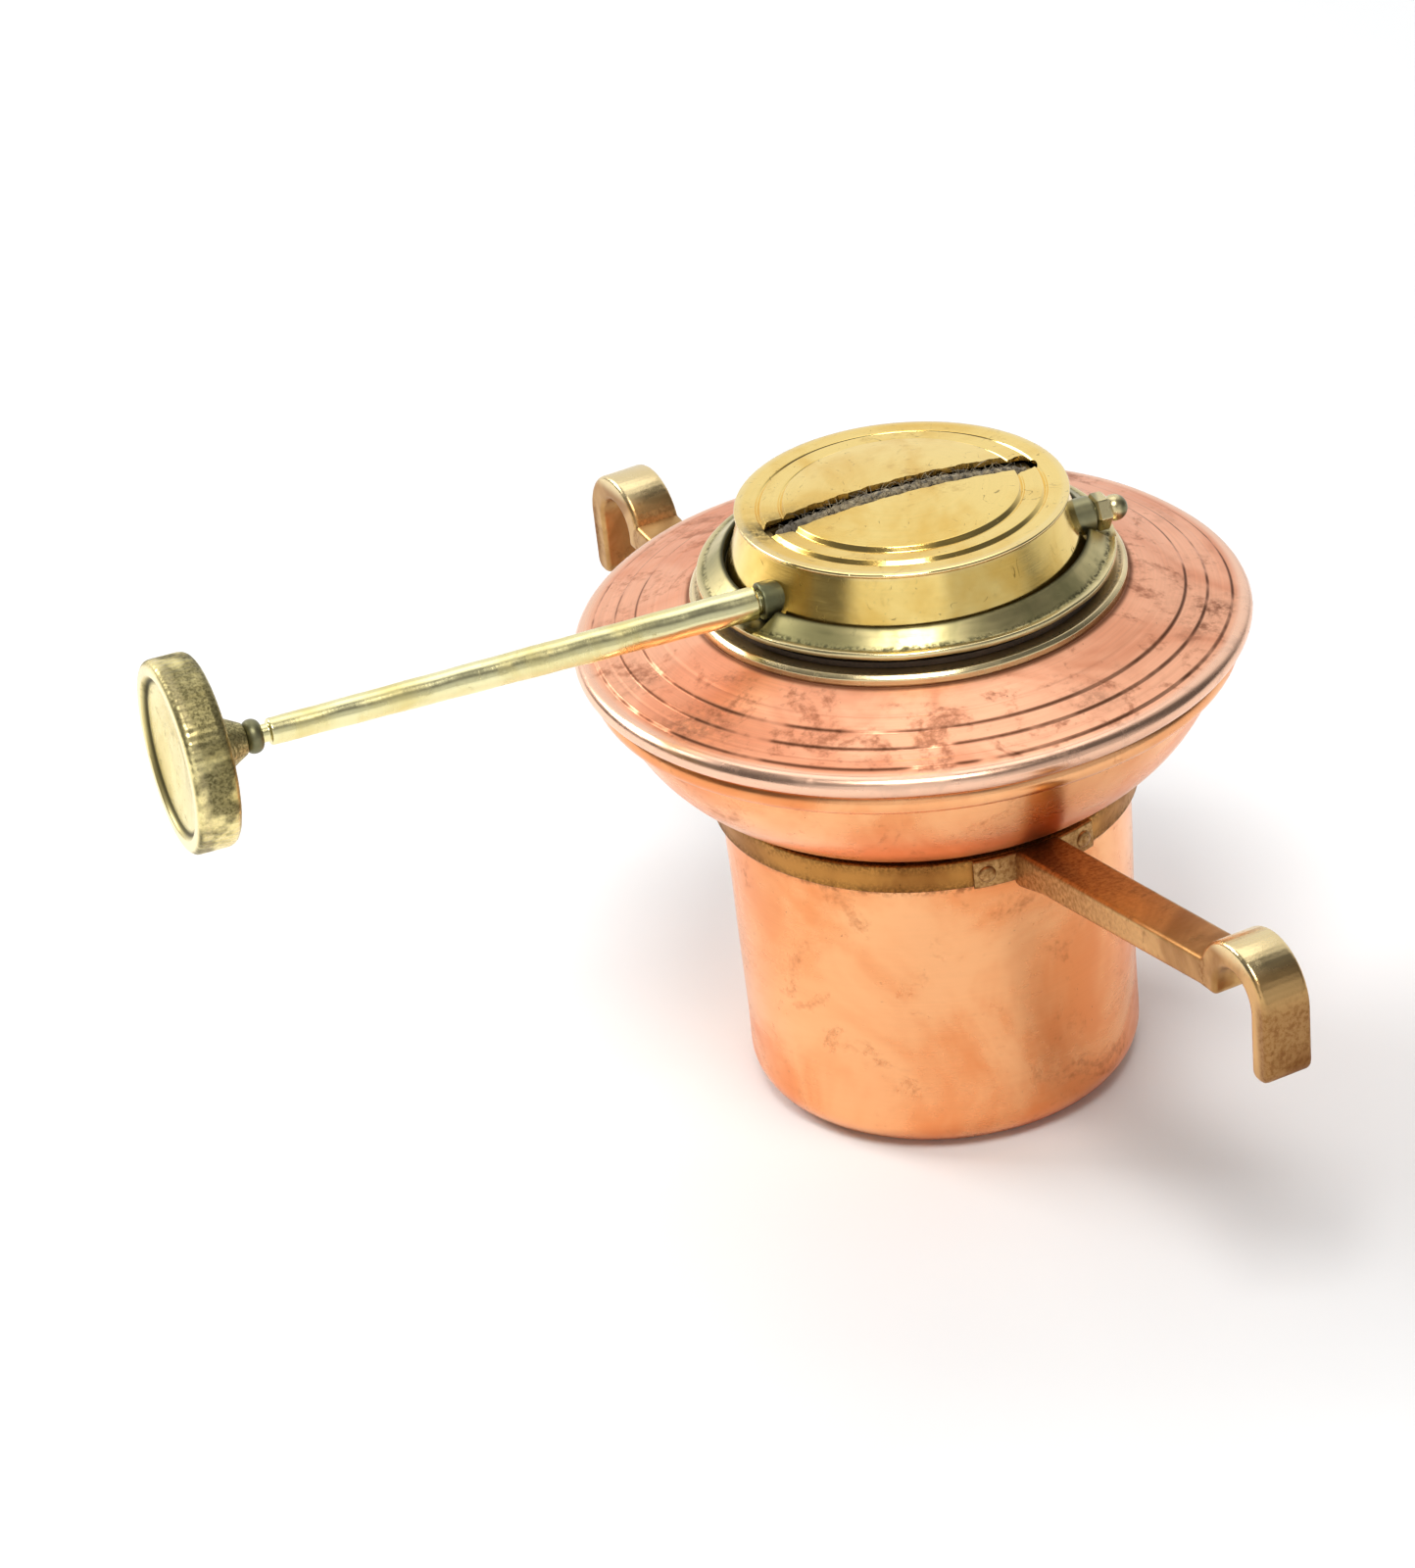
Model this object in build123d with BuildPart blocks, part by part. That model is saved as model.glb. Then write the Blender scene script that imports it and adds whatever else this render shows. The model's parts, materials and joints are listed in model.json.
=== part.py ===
from build123d import *
import os
from math import cos, radians, sin, sqrt

# A copper spirit burner that hangs between two round rails. Millimetres, +Z up.
# The origin is the centre of the flat base. The rails run along X, one in front of the font and one
# behind it. The burner head pushes into the top and stands turned by head_turn, so it is drawn square,
# with its wick spindle along X and the control rod towards -X, and each of its pieces is turned when saved.

# Copper font: a tapered cup, a flared shoulder and a conical top
sheet = 0.9
solder_gap = 0.05
base_radius = 22.4
neck_radius = 23.3
base_corner = 4.5
cup_height = 38.3
shoulder_lap = 5.0
shoulder_rise = 15.3
shoulder_swell = 2.45
bead_radius = 1.45
rim_reach = 13.5
rim_roll = 1.25
rim_overhang = 2.8
top_rise = 3.9
top_step_insets = (2.6, 5.3, 7.9)
step_size = 0.35

# Brass neck band and the two arms that hook over the rails
band_width = 3.5
band_thickness = 0.85
rail_diameter = 6.2
rail_clearance = 0.2
rail_spacing = 136.0
rail_height = 41.6
hook_wall = 3.0
hook_width = 5.8
hook_leg = 8.0
arm_thickness = 3.6
arm_drop = 1.4
arm_rounding = 0.5
pad_angle = 18.0
pad_thickness = 0.6
rivet_angle = 14.5
rivet_radius = 0.5
rivet_head_radius = 1.0
rivet_head_height = 0.45

# Brass collar soldered into the top, and its washer
collar_lap = 4.7
collar_thickness = 1.2
collar_depth = 6.0
collar_wall = 1.4
collar_edge = 0.4
washer_inset = 2.1
washer_thickness = 0.7

# Burner base: a plug below, a round flange and a sloping skirt above
head_turn = -7.5
plug_room = 1.0
plug_clearance = 0.1
plug_wall = 1.4
plug_depth = 9.0
flange_inset = 1.0
flange_step = 0.7
flange_edge = 0.8
skirt_width = 3.3
skirt_run = 0.8
deck_rise = 1.6
skirt_rise = 3.2
floor_drop = 2.7
floor_thickness = 1.0

# Drum and its slotted dome
drum_sheet = 0.8
drum_height = 6.5
drum_draft = 2.1
dome_sheet = 0.7
dome_rise = 1.3
dome_roll = 0.55
dome_step_insets = (2.75, 5.25)
dome_skirt = 2.0
skirt_clearance = 0.12
slot_clearance = 0.45
slot_end_room = 0.55

# Flat wick and its tube
wick_width = 30.0
wick_thickness = 2.8
wick_length = 55.0
wick_crown = 1.6
wick_stand = 0.2
wick_clearance = 0.15
tube_wall = 0.6
tube_length = 14.0
tube_drop = 0.4

# Wick spindle, star wheels, bushes, control rod and knob
spindle_radius = 1.25
spindle_rise = 3.7
journal_clearance = 0.05
fit_gap = 0.02
star_radius = 4.4
star_root = 3.3
star_teeth = 12
star_thickness = 1.2
star_spacing = 16.0
star_clearance = 0.4
bite_clearance = 0.2
bush_radius = 2.1
bush_inside = 1.0
bush_outside = 1.3
end_play = 0.2
nut_width = 3.8
nut_length = 1.8
nut_ball_radius = 1.5
nut_cap = 0.6
notch_clearance = 0.3
rod_length = 56.0
rod_inner_radius = 1.9
rod_outer_radius = 1.5
rod_socket = 4.0
rod_gap = 0.4
spigot_radius = 1.0
ferrule_gap = 0.9
ferrule_length = 1.8
ferrule_radius = 1.9
knob_radius = 10.7
knob_width = 5.0
knob_rounding = 1.1
knob_lip = 2.0
knob_lip_height = 0.6
knob_dish = 1.1
knob_web = 0.9
knob_hub_radius = 3.4
knob_hub_tip = 1.7
knob_hub_length = 3.6

# Heights and radii that follow from the sizes above
shoulder_height = cup_height + shoulder_rise
band_low = cup_height + 0.6 - band_width
band_inner = neck_radius + solder_gap
band_outer = band_inner + band_thickness
skirt_low = cup_height - shoulder_lap
cup_taper = (neck_radius - base_radius) / cup_height
skirt_radius = neck_radius - cup_taper * shoulder_lap - sheet - 2 * solder_gap
lip_low = shoulder_height + bead_radius + solder_gap
lip_high = lip_low + 2 * rim_roll
top_centre = lip_high + top_rise
tube_half_width = wick_width / 2 + wick_clearance + tube_wall
tube_half_depth = wick_thickness / 2 + wick_clearance + tube_wall
plug_bore = sqrt(tube_half_width**2 + tube_half_depth**2) + plug_room
plug_radius = plug_bore + plug_wall
collar_bore = plug_radius + plug_clearance
collar_neck = collar_bore + collar_wall
collar_radius = collar_neck + collar_lap
rim_radius = collar_radius + rim_reach
shoulder_radius = rim_radius - rim_overhang
collar_top = top_centre + solder_gap + collar_thickness
base_low = collar_top + washer_thickness
deck_top = base_low + deck_rise
skirt_top = base_low + skirt_rise
floor_top = base_low + flange_step - floor_drop
flange_radius = collar_radius - flange_inset
drum_base_radius = flange_radius - skirt_width
drum_top_radius = drum_base_radius - drum_draft
drum_top = deck_top + drum_height
plate_top = drum_top + dome_roll
dome_top = plate_top + dome_rise
dome_radius = drum_top_radius + dome_roll
wick_top = dome_top + wick_stand
tube_top = drum_top - tube_drop
hook_bore = rail_diameter / 2 + rail_clearance
hook_outer = hook_bore + hook_wall
hook_centre = rail_spacing / 2

# Places along the spindle
spindle_height = base_low + spindle_rise
spindle_offset = wick_thickness / 2 + bite_clearance + star_radius
drum_slope = drum_draft / drum_height
drum_here = drum_base_radius - drum_slope * (spindle_height - deck_top)
drum_chord = sqrt(drum_here**2 - spindle_offset**2)
bush_face = drum_chord + bush_outside
rod_start = -(bush_face + rod_gap)
rod_end = rod_start - rod_length
ferrule_start = rod_end - ferrule_gap
hub_start = ferrule_start - ferrule_length - fit_gap
knob_inner = hub_start - knob_hub_length
knob_outer = knob_inner - knob_width
nut_start = bush_face + end_play
nut_end = nut_start + nut_length

spindle_axis = Axis((0, -spindle_offset, spindle_height), (1, 0, 0))
spindle_side = Plane(origin=(0, -spindle_offset, spindle_height), x_dir=(1, 0, 0), z_dir=(0, -1, 0))
spindle_end = Plane(origin=(0, -spindle_offset, spindle_height), x_dir=(0, 1, 0), z_dir=(1, 0, 0))

os.makedirs("parts", exist_ok=True)


def save(piece, name, turn=0.0):
    """Turns a finished piece about Z, labels it and writes it to the parts folder."""
    solid = piece.part.rotate(Axis.Z, turn) if turn else piece.part
    solid.label = name
    export_step(solid, f"parts/{name}.step")


# The cup is one drawn sheet: a flat base, a rounded corner and a slightly tapered wall.
with BuildPart() as font_cup:
    with BuildSketch(Plane.XZ):
        with BuildLine():
            FilletPolyline((0, 0), (base_radius, 0), (neck_radius, cup_height), radius=base_corner)
            offset(amount=sheet, side=Side.LEFT)
        make_face()
    revolve(axis=Axis.Z)
save(font_cup, "font_cup")

# The shoulder's skirt sits inside the cup's mouth. Above it the sheet swells out to a rolled bead.
shoulder_start = cup_height + 0.3
with BuildPart() as font_shoulder:
    with BuildSketch(Plane.XZ):
        with BuildLine():
            Line((skirt_radius, skirt_low), (skirt_radius, shoulder_start))
            SagittaArc((skirt_radius, shoulder_start), (shoulder_radius, shoulder_height), -shoulder_swell)
            offset(amount=sheet, side=Side.LEFT)
        make_face()
        with Locations((shoulder_radius, shoulder_height)):
            Circle(bead_radius)
    revolve(axis=Axis.Z)
save(font_shoulder, "font_shoulder")


# The top is a low cone with spun steps. Its rolled edge rests on the shoulder's bead.
def cone_height(radius):
    """Height of the plain cone, between the rolled edge and the collar, at a radius."""
    return lip_high + top_rise * (rim_radius - rim_roll - radius) / (rim_radius - rim_roll - collar_radius)


with BuildPart() as font_top:
    with BuildSketch(Plane.XZ):
        with BuildLine():
            edge = (rim_radius - rim_roll, lip_low)
            Line((shoulder_radius - bead_radius, lip_low), edge)
            ThreePointArc(edge, (rim_radius, lip_low + rim_roll), (rim_radius - rim_roll, lip_high))
            risers = []
            for inset in top_step_insets:
                radius = rim_radius - inset
                risers.append((radius, cone_height(radius) - step_size / 2))
                risers.append((radius - step_size, cone_height(radius - step_size) + step_size / 2))
            Polyline(
                (rim_radius - rim_roll, lip_high),
                *risers,
                (collar_radius, top_centre),
                (collar_neck + solder_gap, top_centre),
            )
            offset(amount=sheet, side=Side.LEFT)
        make_face()
    revolve(axis=Axis.Z)
save(font_top, "font_top")


def rivet_places(side):
    """Planes that point outwards at the two rivets of the front arm (side -1) or the back arm (side 1)."""
    for step in (-rivet_angle, rivet_angle):
        angle = radians(90 * side + step)
        outwards = (cos(angle), sin(angle), 0)
        yield Plane(origin=(0, 0, band_low + band_width / 2), x_dir=(0, 0, 1), z_dir=outwards)


# A brass band soldered around the neck, with a hole for each rivet
with BuildPart() as neck_band:
    with BuildSketch(Plane.XY.offset(band_low)):
        Circle(band_outer)
        Circle(band_inner, mode=Mode.SUBTRACT)
    extrude(amount=band_width)
    for side in (-1, 1):
        for place in rivet_places(side):
            with BuildSketch(place):
                Circle(rivet_radius + fit_gap)
            extrude(amount=band_outer + 1, mode=Mode.SUBTRACT)
save(neck_band, "neck_band")

# Each arm is a flat bar with a curved pad at the band and a hook, open below, that drops over a rail.
pad_inner = band_outer + solder_gap
pad_outer = pad_inner + pad_thickness
bar_low = band_low
bar_end = rail_height - arm_drop
hook_side = hook_centre - hook_outer


def make_arm(side, name):
    """One arm towards -Y (side -1) or +Y (side 1), with its pad and hook."""
    with BuildPart() as arm:
        with BuildSketch(Plane(origin=(0, 0, 0), x_dir=(0, side, 0), z_dir=(side, 0, 0))):
            with Locations((hook_centre, rail_height)):
                Circle(hook_outer)
            with Locations((hook_centre + hook_outer - hook_wall, rail_height)):
                Rectangle(hook_wall, hook_leg, align=(Align.MIN, Align.MAX))
            with BuildLine():
                Polyline(
                    (pad_inner + pad_thickness / 2, bar_low),
                    (hook_side + hook_wall / 2, bar_end),
                    (hook_side + hook_wall / 2, bar_end + arm_thickness),
                    (pad_inner + pad_thickness / 2, bar_low + band_width),
                    close=True,
                )
            make_face()
            with Locations((hook_centre, rail_height)):
                Circle(hook_bore, mode=Mode.SUBTRACT)
                Rectangle(2 * hook_bore, 2 * hook_outer, align=(Align.CENTER, Align.MAX), mode=Mode.SUBTRACT)
            with Locations((hook_side - 1, bar_end)):
                Rectangle(hook_wall + 2, hook_outer, align=(Align.MIN, Align.MAX), mode=Mode.SUBTRACT)
        extrude(amount=hook_width / 2, both=True)
        fillet(arm.edges().filter_by(GeomType.LINE, reverse=True).filter_by(Plane.YZ), arm_rounding)
        start = radians(90 * side - pad_angle)
        outwards = (cos(start), sin(start), 0)
        with BuildSketch(Plane(origin=(0, 0, 0), x_dir=outwards, z_dir=(sin(start), -cos(start), 0))):
            with Locations(((pad_inner + pad_outer) / 2, band_low + band_width / 2)):
                Rectangle(pad_thickness, band_width)
        revolve(axis=Axis.Z, revolution_arc=2 * pad_angle)
        for place in rivet_places(side):
            with BuildSketch(place):
                Circle(rivet_radius + fit_gap)
            extrude(amount=pad_outer + 1, mode=Mode.SUBTRACT)
    save(arm, name)


make_arm(-1, "front_arm")
make_arm(1, "back_arm")


def make_rivets(side, name):
    """The two round-headed rivets that hold one arm's pad to the band."""
    with BuildPart() as rivets:
        for place in rivet_places(side):
            with BuildSketch(place.offset(band_inner + solder_gap)):
                Circle(rivet_radius)
            extrude(amount=pad_outer - band_inner)
            with BuildSketch(place.offset(pad_outer)):
                Circle(rivet_head_radius)
            extrude(amount=rivet_head_height, taper=35)
    save(rivets, name)


make_rivets(-1, "front_rivets")
make_rivets(1, "back_rivets")

# The filler collar lies on the top and reaches down through it. The burner head pushes into its bore.
with BuildPart() as filler_collar:
    with BuildSketch(Plane.XZ):
        with BuildLine():
            Polyline(
                (collar_bore, collar_top - collar_depth),
                (collar_neck, collar_top - collar_depth),
                (collar_neck, top_centre + solder_gap),
                (collar_radius, top_centre + solder_gap),
                (collar_radius, collar_top - collar_edge),
                (collar_radius - collar_edge, collar_top),
                (collar_bore, collar_top),
                close=True,
            )
        make_face()
    revolve(axis=Axis.Z)
save(filler_collar, "filler_collar")

# A leather washer keeps the spirit in. It stays on the burner head.
with BuildPart() as seal_washer:
    with BuildSketch(Plane.XY.offset(collar_top + solder_gap)):
        Circle(collar_radius - washer_inset)
        Circle(plug_radius + fit_gap, mode=Mode.SUBTRACT)
    extrude(amount=washer_thickness - solder_gap - fit_gap)
save(seal_washer, "seal_washer")

# The burner base has a plug that fits the collar, a floor, a flange with a thin edge, and a sloping skirt
# around the drum. The floor is slotted for the wick tube, and the skirt is notched for the rod and the nut.
skirt_bore = drum_base_radius + solder_gap
edge_low = base_low + flange_step
notch_floor = spindle_height - nut_width / sqrt(3) - notch_clearance
notch_width = 2 * (nut_width / sqrt(3) + notch_clearance)
with BuildPart() as burner_base:
    with BuildSketch(Plane.XZ):
        with BuildLine():
            Polyline(
                (0, floor_top - floor_thickness),
                (plug_bore, floor_top - floor_thickness),
                (plug_bore, base_low - plug_depth),
                (plug_radius, base_low - plug_depth),
                (plug_radius, base_low),
                (flange_radius - flange_step - flange_edge, base_low),
                (flange_radius - flange_edge, edge_low),
                (flange_radius, edge_low),
                (flange_radius, edge_low + flange_edge),
                (flange_radius - skirt_run, edge_low + flange_edge),
                (skirt_bore, skirt_top),
                (skirt_bore, deck_top),
                (plug_bore, deck_top),
                (plug_bore, floor_top),
                (0, floor_top),
                close=True,
            )
        make_face()
    revolve(axis=Axis.Z)
    with BuildSketch(Plane.XY.offset(floor_top)):
        Rectangle(2 * (tube_half_width + fit_gap), 2 * (tube_half_depth + fit_gap))
    extrude(amount=-floor_thickness, mode=Mode.SUBTRACT)
    with BuildSketch(Plane.XY.offset(notch_floor)):
        for side in (-1, 1):
            with Locations((side * (drum_chord + flange_radius) / 2, -spindle_offset)):
                Rectangle(flange_radius - drum_chord + 4, notch_width)
    extrude(amount=skirt_rise + bush_radius, mode=Mode.SUBTRACT)
save(burner_base, "burner_base", head_turn)

# A flat tube carries the wick. Each star wheel reaches the wick through a window in its front wall.
with BuildPart() as wick_tube:
    with BuildSketch(Plane.XY.offset(tube_top)):
        Rectangle(2 * tube_half_width, 2 * tube_half_depth)
        inner_width = 2 * (tube_half_width - tube_wall)
        Rectangle(inner_width, 2 * (tube_half_depth - tube_wall), mode=Mode.SUBTRACT)
    extrude(amount=-tube_length)
    with BuildSketch(Plane.XZ.offset(tube_half_depth - tube_wall - fit_gap)):
        with Locations((-star_spacing / 2, spindle_height), (star_spacing / 2, spindle_height)):
            Rectangle(star_thickness + 2 * star_clearance, 2 * star_radius)
    extrude(amount=2 * tube_wall, mode=Mode.SUBTRACT)
save(wick_tube, "wick_tube", head_turn)

# The drum flares towards its foot and has a hole at each side for the spindle's bushes.
with BuildPart() as drum:
    with BuildSketch(Plane.XZ):
        with BuildLine():
            Polyline(
                (drum_base_radius, deck_top + fit_gap),
                (drum_top_radius, drum_top),
                (drum_top_radius - drum_sheet, drum_top),
                (drum_base_radius - drum_sheet, deck_top + fit_gap),
                close=True,
            )
        make_face()
    revolve(axis=Axis.Z)
    with BuildSketch(spindle_end):
        Circle(bush_radius + fit_gap)
    extrude(amount=drum_base_radius, both=True, mode=Mode.SUBTRACT)
save(drum, "drum", head_turn)

# The dome lifts off the drum. It has a rolled edge, two spun steps and a long slot for the wick.
dome_skirt_radius = drum_top_radius - drum_sheet - skirt_clearance
plate_low = drum_top + fit_gap
with BuildPart() as dome:
    with BuildSketch(Plane.XZ):
        with BuildLine():
            outline = [(dome_skirt_radius, plate_low), (dome_radius, plate_low)]
            Line(*outline)
            corner = (dome_radius - dome_roll, plate_top)
            ThreePointArc(outline[1], (dome_radius - 0.1, plate_low + dome_roll * 0.7), corner)
            outer, inner = [dome_radius - inset for inset in dome_step_insets]
            rise = step_size
            Polyline(
                corner,
                (outer, plate_top - rise / 2),
                (outer - rise, plate_top + rise / 2),
                (inner, plate_top + rise / 2),
                (inner - rise, plate_top + rise * 1.5),
            )
            foot = (inner - rise, plate_top + rise * 1.5)
            middle = (foot[0] / 2, plate_top + (dome_rise - rise * 1.5) * 0.8 + rise * 1.5)
            ThreePointArc(foot, middle, (0, dome_top))
            Line((0, dome_top), (0, dome_top - dome_sheet))
            under = (foot[0], foot[1] - dome_sheet)
            ThreePointArc((0, dome_top - dome_sheet), (middle[0], middle[1] - dome_sheet), under)
            Polyline(
                under,
                (dome_skirt_radius - dome_sheet, plate_low),
                (dome_skirt_radius - dome_sheet, plate_low - dome_skirt),
                (dome_skirt_radius, plate_low - dome_skirt),
                (dome_skirt_radius, plate_low),
            )
        make_face()
    revolve(axis=Axis.Z)
    with BuildSketch(Plane.XY.offset(plate_low - dome_sheet)):
        SlotOverall(2 * (tube_half_width + slot_end_room), wick_thickness + 2 * slot_clearance)
    extrude(amount=dome_rise + dome_roll + 2 * dome_sheet, mode=Mode.SUBTRACT)
save(dome, "dome", head_turn)

# The flat wick: its top is cut to the curve of the dome, and its tail hangs down into the font.
with BuildPart() as wick:
    with BuildSketch(Plane.XZ.offset(-wick_thickness / 2)):
        with BuildLine():
            low = wick_top - wick_length
            half = wick_width / 2
            Polyline((half, wick_top - wick_crown), (half, low), (-half, low), (-half, wick_top - wick_crown))
            ThreePointArc((-half, wick_top - wick_crown), (0, wick_top), (half, wick_top - wick_crown))
        make_face()
    extrude(amount=wick_thickness)
save(wick, "wick", head_turn)


def make_bush(side, name):
    """A flanged bush in the drum's wall, towards -X (side -1) or +X (side 1), in which the spindle turns."""
    with BuildPart() as bush:
        with BuildSketch(spindle_end.offset(side * (drum_chord - drum_sheet - bush_inside))):
            Circle(bush_radius)
            Circle(spindle_radius + journal_clearance, mode=Mode.SUBTRACT)
        extrude(amount=side * (bush_inside + drum_sheet + bush_outside))
    save(bush, name, head_turn)


make_bush(-1, "rod_bush")
make_bush(1, "nut_bush")

# The spindle reaches from the rod's socket, through both bushes, into the nut.
with BuildPart() as spindle:
    with BuildSketch(spindle_end.offset(rod_start - rod_socket + fit_gap)):
        Circle(spindle_radius)
    extrude(amount=nut_end - nut_cap - rod_start + rod_socket - 2 * fit_gap)
save(spindle, "spindle", head_turn)

# Two toothed star wheels on the spindle grip the wick.
with BuildPart() as star_wheels:
    for place in (-star_spacing / 2, star_spacing / 2):
        with BuildSketch(spindle_end.offset(place - star_thickness / 2)):
            with BuildLine():
                points = []
                for tooth in range(star_teeth):
                    for share, radius in ((0, star_radius), (0.5, star_root)):
                        angle = radians(360 * (tooth + share) / star_teeth)
                        points.append((radius * cos(angle), radius * sin(angle)))
                Polyline(*points, close=True)
            make_face()
            Circle(spindle_radius + fit_gap, mode=Mode.SUBTRACT)
        extrude(amount=star_thickness)
save(star_wheels, "star_wheels", head_turn)

# A ball-ended nut closes the spindle's far end.
with BuildPart() as ball_nut:
    with BuildSketch(spindle_end.offset(nut_start)):
        RegularPolygon(nut_width / 2, 6, major_radius=False)
    extrude(amount=nut_length)
    with Locations(spindle_end.offset(nut_end + nut_ball_radius * 0.6)):
        Sphere(nut_ball_radius)
    with BuildSketch(spindle_end.offset(nut_start)):
        Circle(spindle_radius + fit_gap)
    extrude(amount=nut_length - nut_cap, mode=Mode.SUBTRACT)
save(ball_nut, "ball_nut", head_turn)

# The control rod tapers outwards. It has a socket for the spindle and a thin spigot for the ferrule and knob.
spigot_end = knob_outer + knob_dish + knob_web
with BuildPart() as control_rod:
    with BuildSketch(spindle_side):
        with BuildLine():
            Polyline(
                (rod_start, spindle_radius + fit_gap),
                (rod_start, rod_inner_radius),
                (rod_end, rod_outer_radius),
                (rod_end, spigot_radius),
                (spigot_end, spigot_radius),
                (spigot_end, 0),
                (rod_start - rod_socket, 0),
                (rod_start - rod_socket, spindle_radius + fit_gap),
                close=True,
            )
        make_face()
    revolve(axis=spindle_axis)
save(control_rod, "control_rod", head_turn)

# A round-edged ferrule stands on the spigot between the rod and the knob.
with BuildPart() as rod_ferrule:
    with BuildSketch(spindle_side):
        with BuildLine():
            bore = spigot_radius + fit_gap
            near, far = ferrule_start, ferrule_start - ferrule_length
            Polyline((near, ferrule_radius - 0.5), (near, bore), (far, bore), (far, ferrule_radius - 0.5))
            ThreePointArc(
                (far, ferrule_radius - 0.5), ((near + far) / 2, ferrule_radius), (near, ferrule_radius - 0.5)
            )
        make_face()
    revolve(axis=spindle_axis)
save(rod_ferrule, "rod_ferrule", head_turn)

# The knob is a thick wheel with rounded edges. Its outer face is a shallow dish inside a raised lip, and a
# conical hub on its inner face takes the rod's spigot in a blind bore.
with BuildPart() as knob:
    with BuildSketch(spindle_side):
        with BuildLine():
            Polyline(
                (knob_outer + knob_dish, 0),
                (knob_outer + knob_lip_height, knob_radius - knob_lip),
                (knob_outer, knob_radius - knob_lip),
                (knob_outer, knob_radius),
                (knob_inner, knob_radius),
                (knob_inner, knob_hub_radius),
                (hub_start, knob_hub_tip),
                (hub_start, spigot_radius + fit_gap),
                (spigot_end - fit_gap, spigot_radius + fit_gap),
                (spigot_end - fit_gap, 0),
                close=True,
            )
        make_face()
    revolve(axis=spindle_axis)
    fillet(knob.edges().filter_by(GeomType.CIRCLE).group_by(SortBy.RADIUS)[-1], knob_rounding)
save(knob, "knob", head_turn)
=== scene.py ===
import json
from math import acos, atan2, ceil, cos, pi, radians, sin, tan

import bmesh
import bpy
import numpy as np
from mathutils import Matrix, Vector


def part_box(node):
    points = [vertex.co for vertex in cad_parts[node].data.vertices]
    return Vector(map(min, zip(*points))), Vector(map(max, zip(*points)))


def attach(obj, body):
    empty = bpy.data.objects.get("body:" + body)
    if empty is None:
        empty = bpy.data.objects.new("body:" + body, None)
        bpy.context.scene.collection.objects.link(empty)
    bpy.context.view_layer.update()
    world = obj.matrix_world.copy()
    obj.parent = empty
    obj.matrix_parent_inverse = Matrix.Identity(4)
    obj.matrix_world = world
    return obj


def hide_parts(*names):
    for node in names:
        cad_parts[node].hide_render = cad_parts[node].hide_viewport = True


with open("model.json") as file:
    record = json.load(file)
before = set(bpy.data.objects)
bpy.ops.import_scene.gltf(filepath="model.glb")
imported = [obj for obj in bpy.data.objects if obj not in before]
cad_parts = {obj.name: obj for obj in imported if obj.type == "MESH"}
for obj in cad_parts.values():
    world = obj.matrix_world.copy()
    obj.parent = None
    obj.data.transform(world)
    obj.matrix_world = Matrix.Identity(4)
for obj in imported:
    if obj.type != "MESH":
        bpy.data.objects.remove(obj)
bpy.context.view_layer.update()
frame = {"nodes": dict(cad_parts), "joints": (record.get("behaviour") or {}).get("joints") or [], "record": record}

mm = 0.001  # pieces are worked out in millimetres and scaled once, when they become meshes
scene = bpy.context.scene
nodeBody = {node: body for body, nodes in frame["record"]["behaviour"]["bodies"].items() for node in nodes}
nodeSlot = {part["node"]: part["material_slot"] for part in frame["record"]["subparts"]}
spindleJoint = next(joint for joint in frame["joints"] if joint["name"] == "spindle_turn")
spindleAxis = np.array(spindleJoint["axis"])
spindlePoint = np.array(spindleJoint["pos_m"]) / mm
headTurn = atan2(spindleAxis[1], spindleAxis[0])  # the burner head stands turned by this about the vertical


def nodeSpan(node):
    # lowest and highest corner of a CAD node, in millimetres
    low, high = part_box(node)
    return np.array(low) / mm, np.array(high) / mm


def nodeRadius(node):
    # outer radius of a CAD node that is round about the vertical axis
    low, high = nodeSpan(node)
    return (high[1] - low[1]) / 2


def nodePoints(node):
    # the corners of a CAD node's mesh as rows, in millimetres
    mesh = frame["nodes"][node].data
    points = np.empty(len(mesh.vertices) * 3)
    mesh.vertices.foreach_get("co", points)
    return points.reshape(-1, 3) / mm


def spindleSpan(node):
    # nearest and furthest place of a CAD node along the spindle, and its largest radius about it
    points = nodePoints(node) - spindlePoint
    along = points @ spindleAxis
    return along.min(), along.max(), np.linalg.norm(points - along[:, None] * spindleAxis, axis=1).max()


def spindleHalf(node, axis):
    # half the size of a CAD node along the spindle (axis 0) or across it (axis 1), in the level plane
    direction = spindleAxis if axis == 0 else np.array([-spindleAxis[1], spindleAxis[0], 0])
    return abs(nodePoints(node) @ direction).max()


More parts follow.
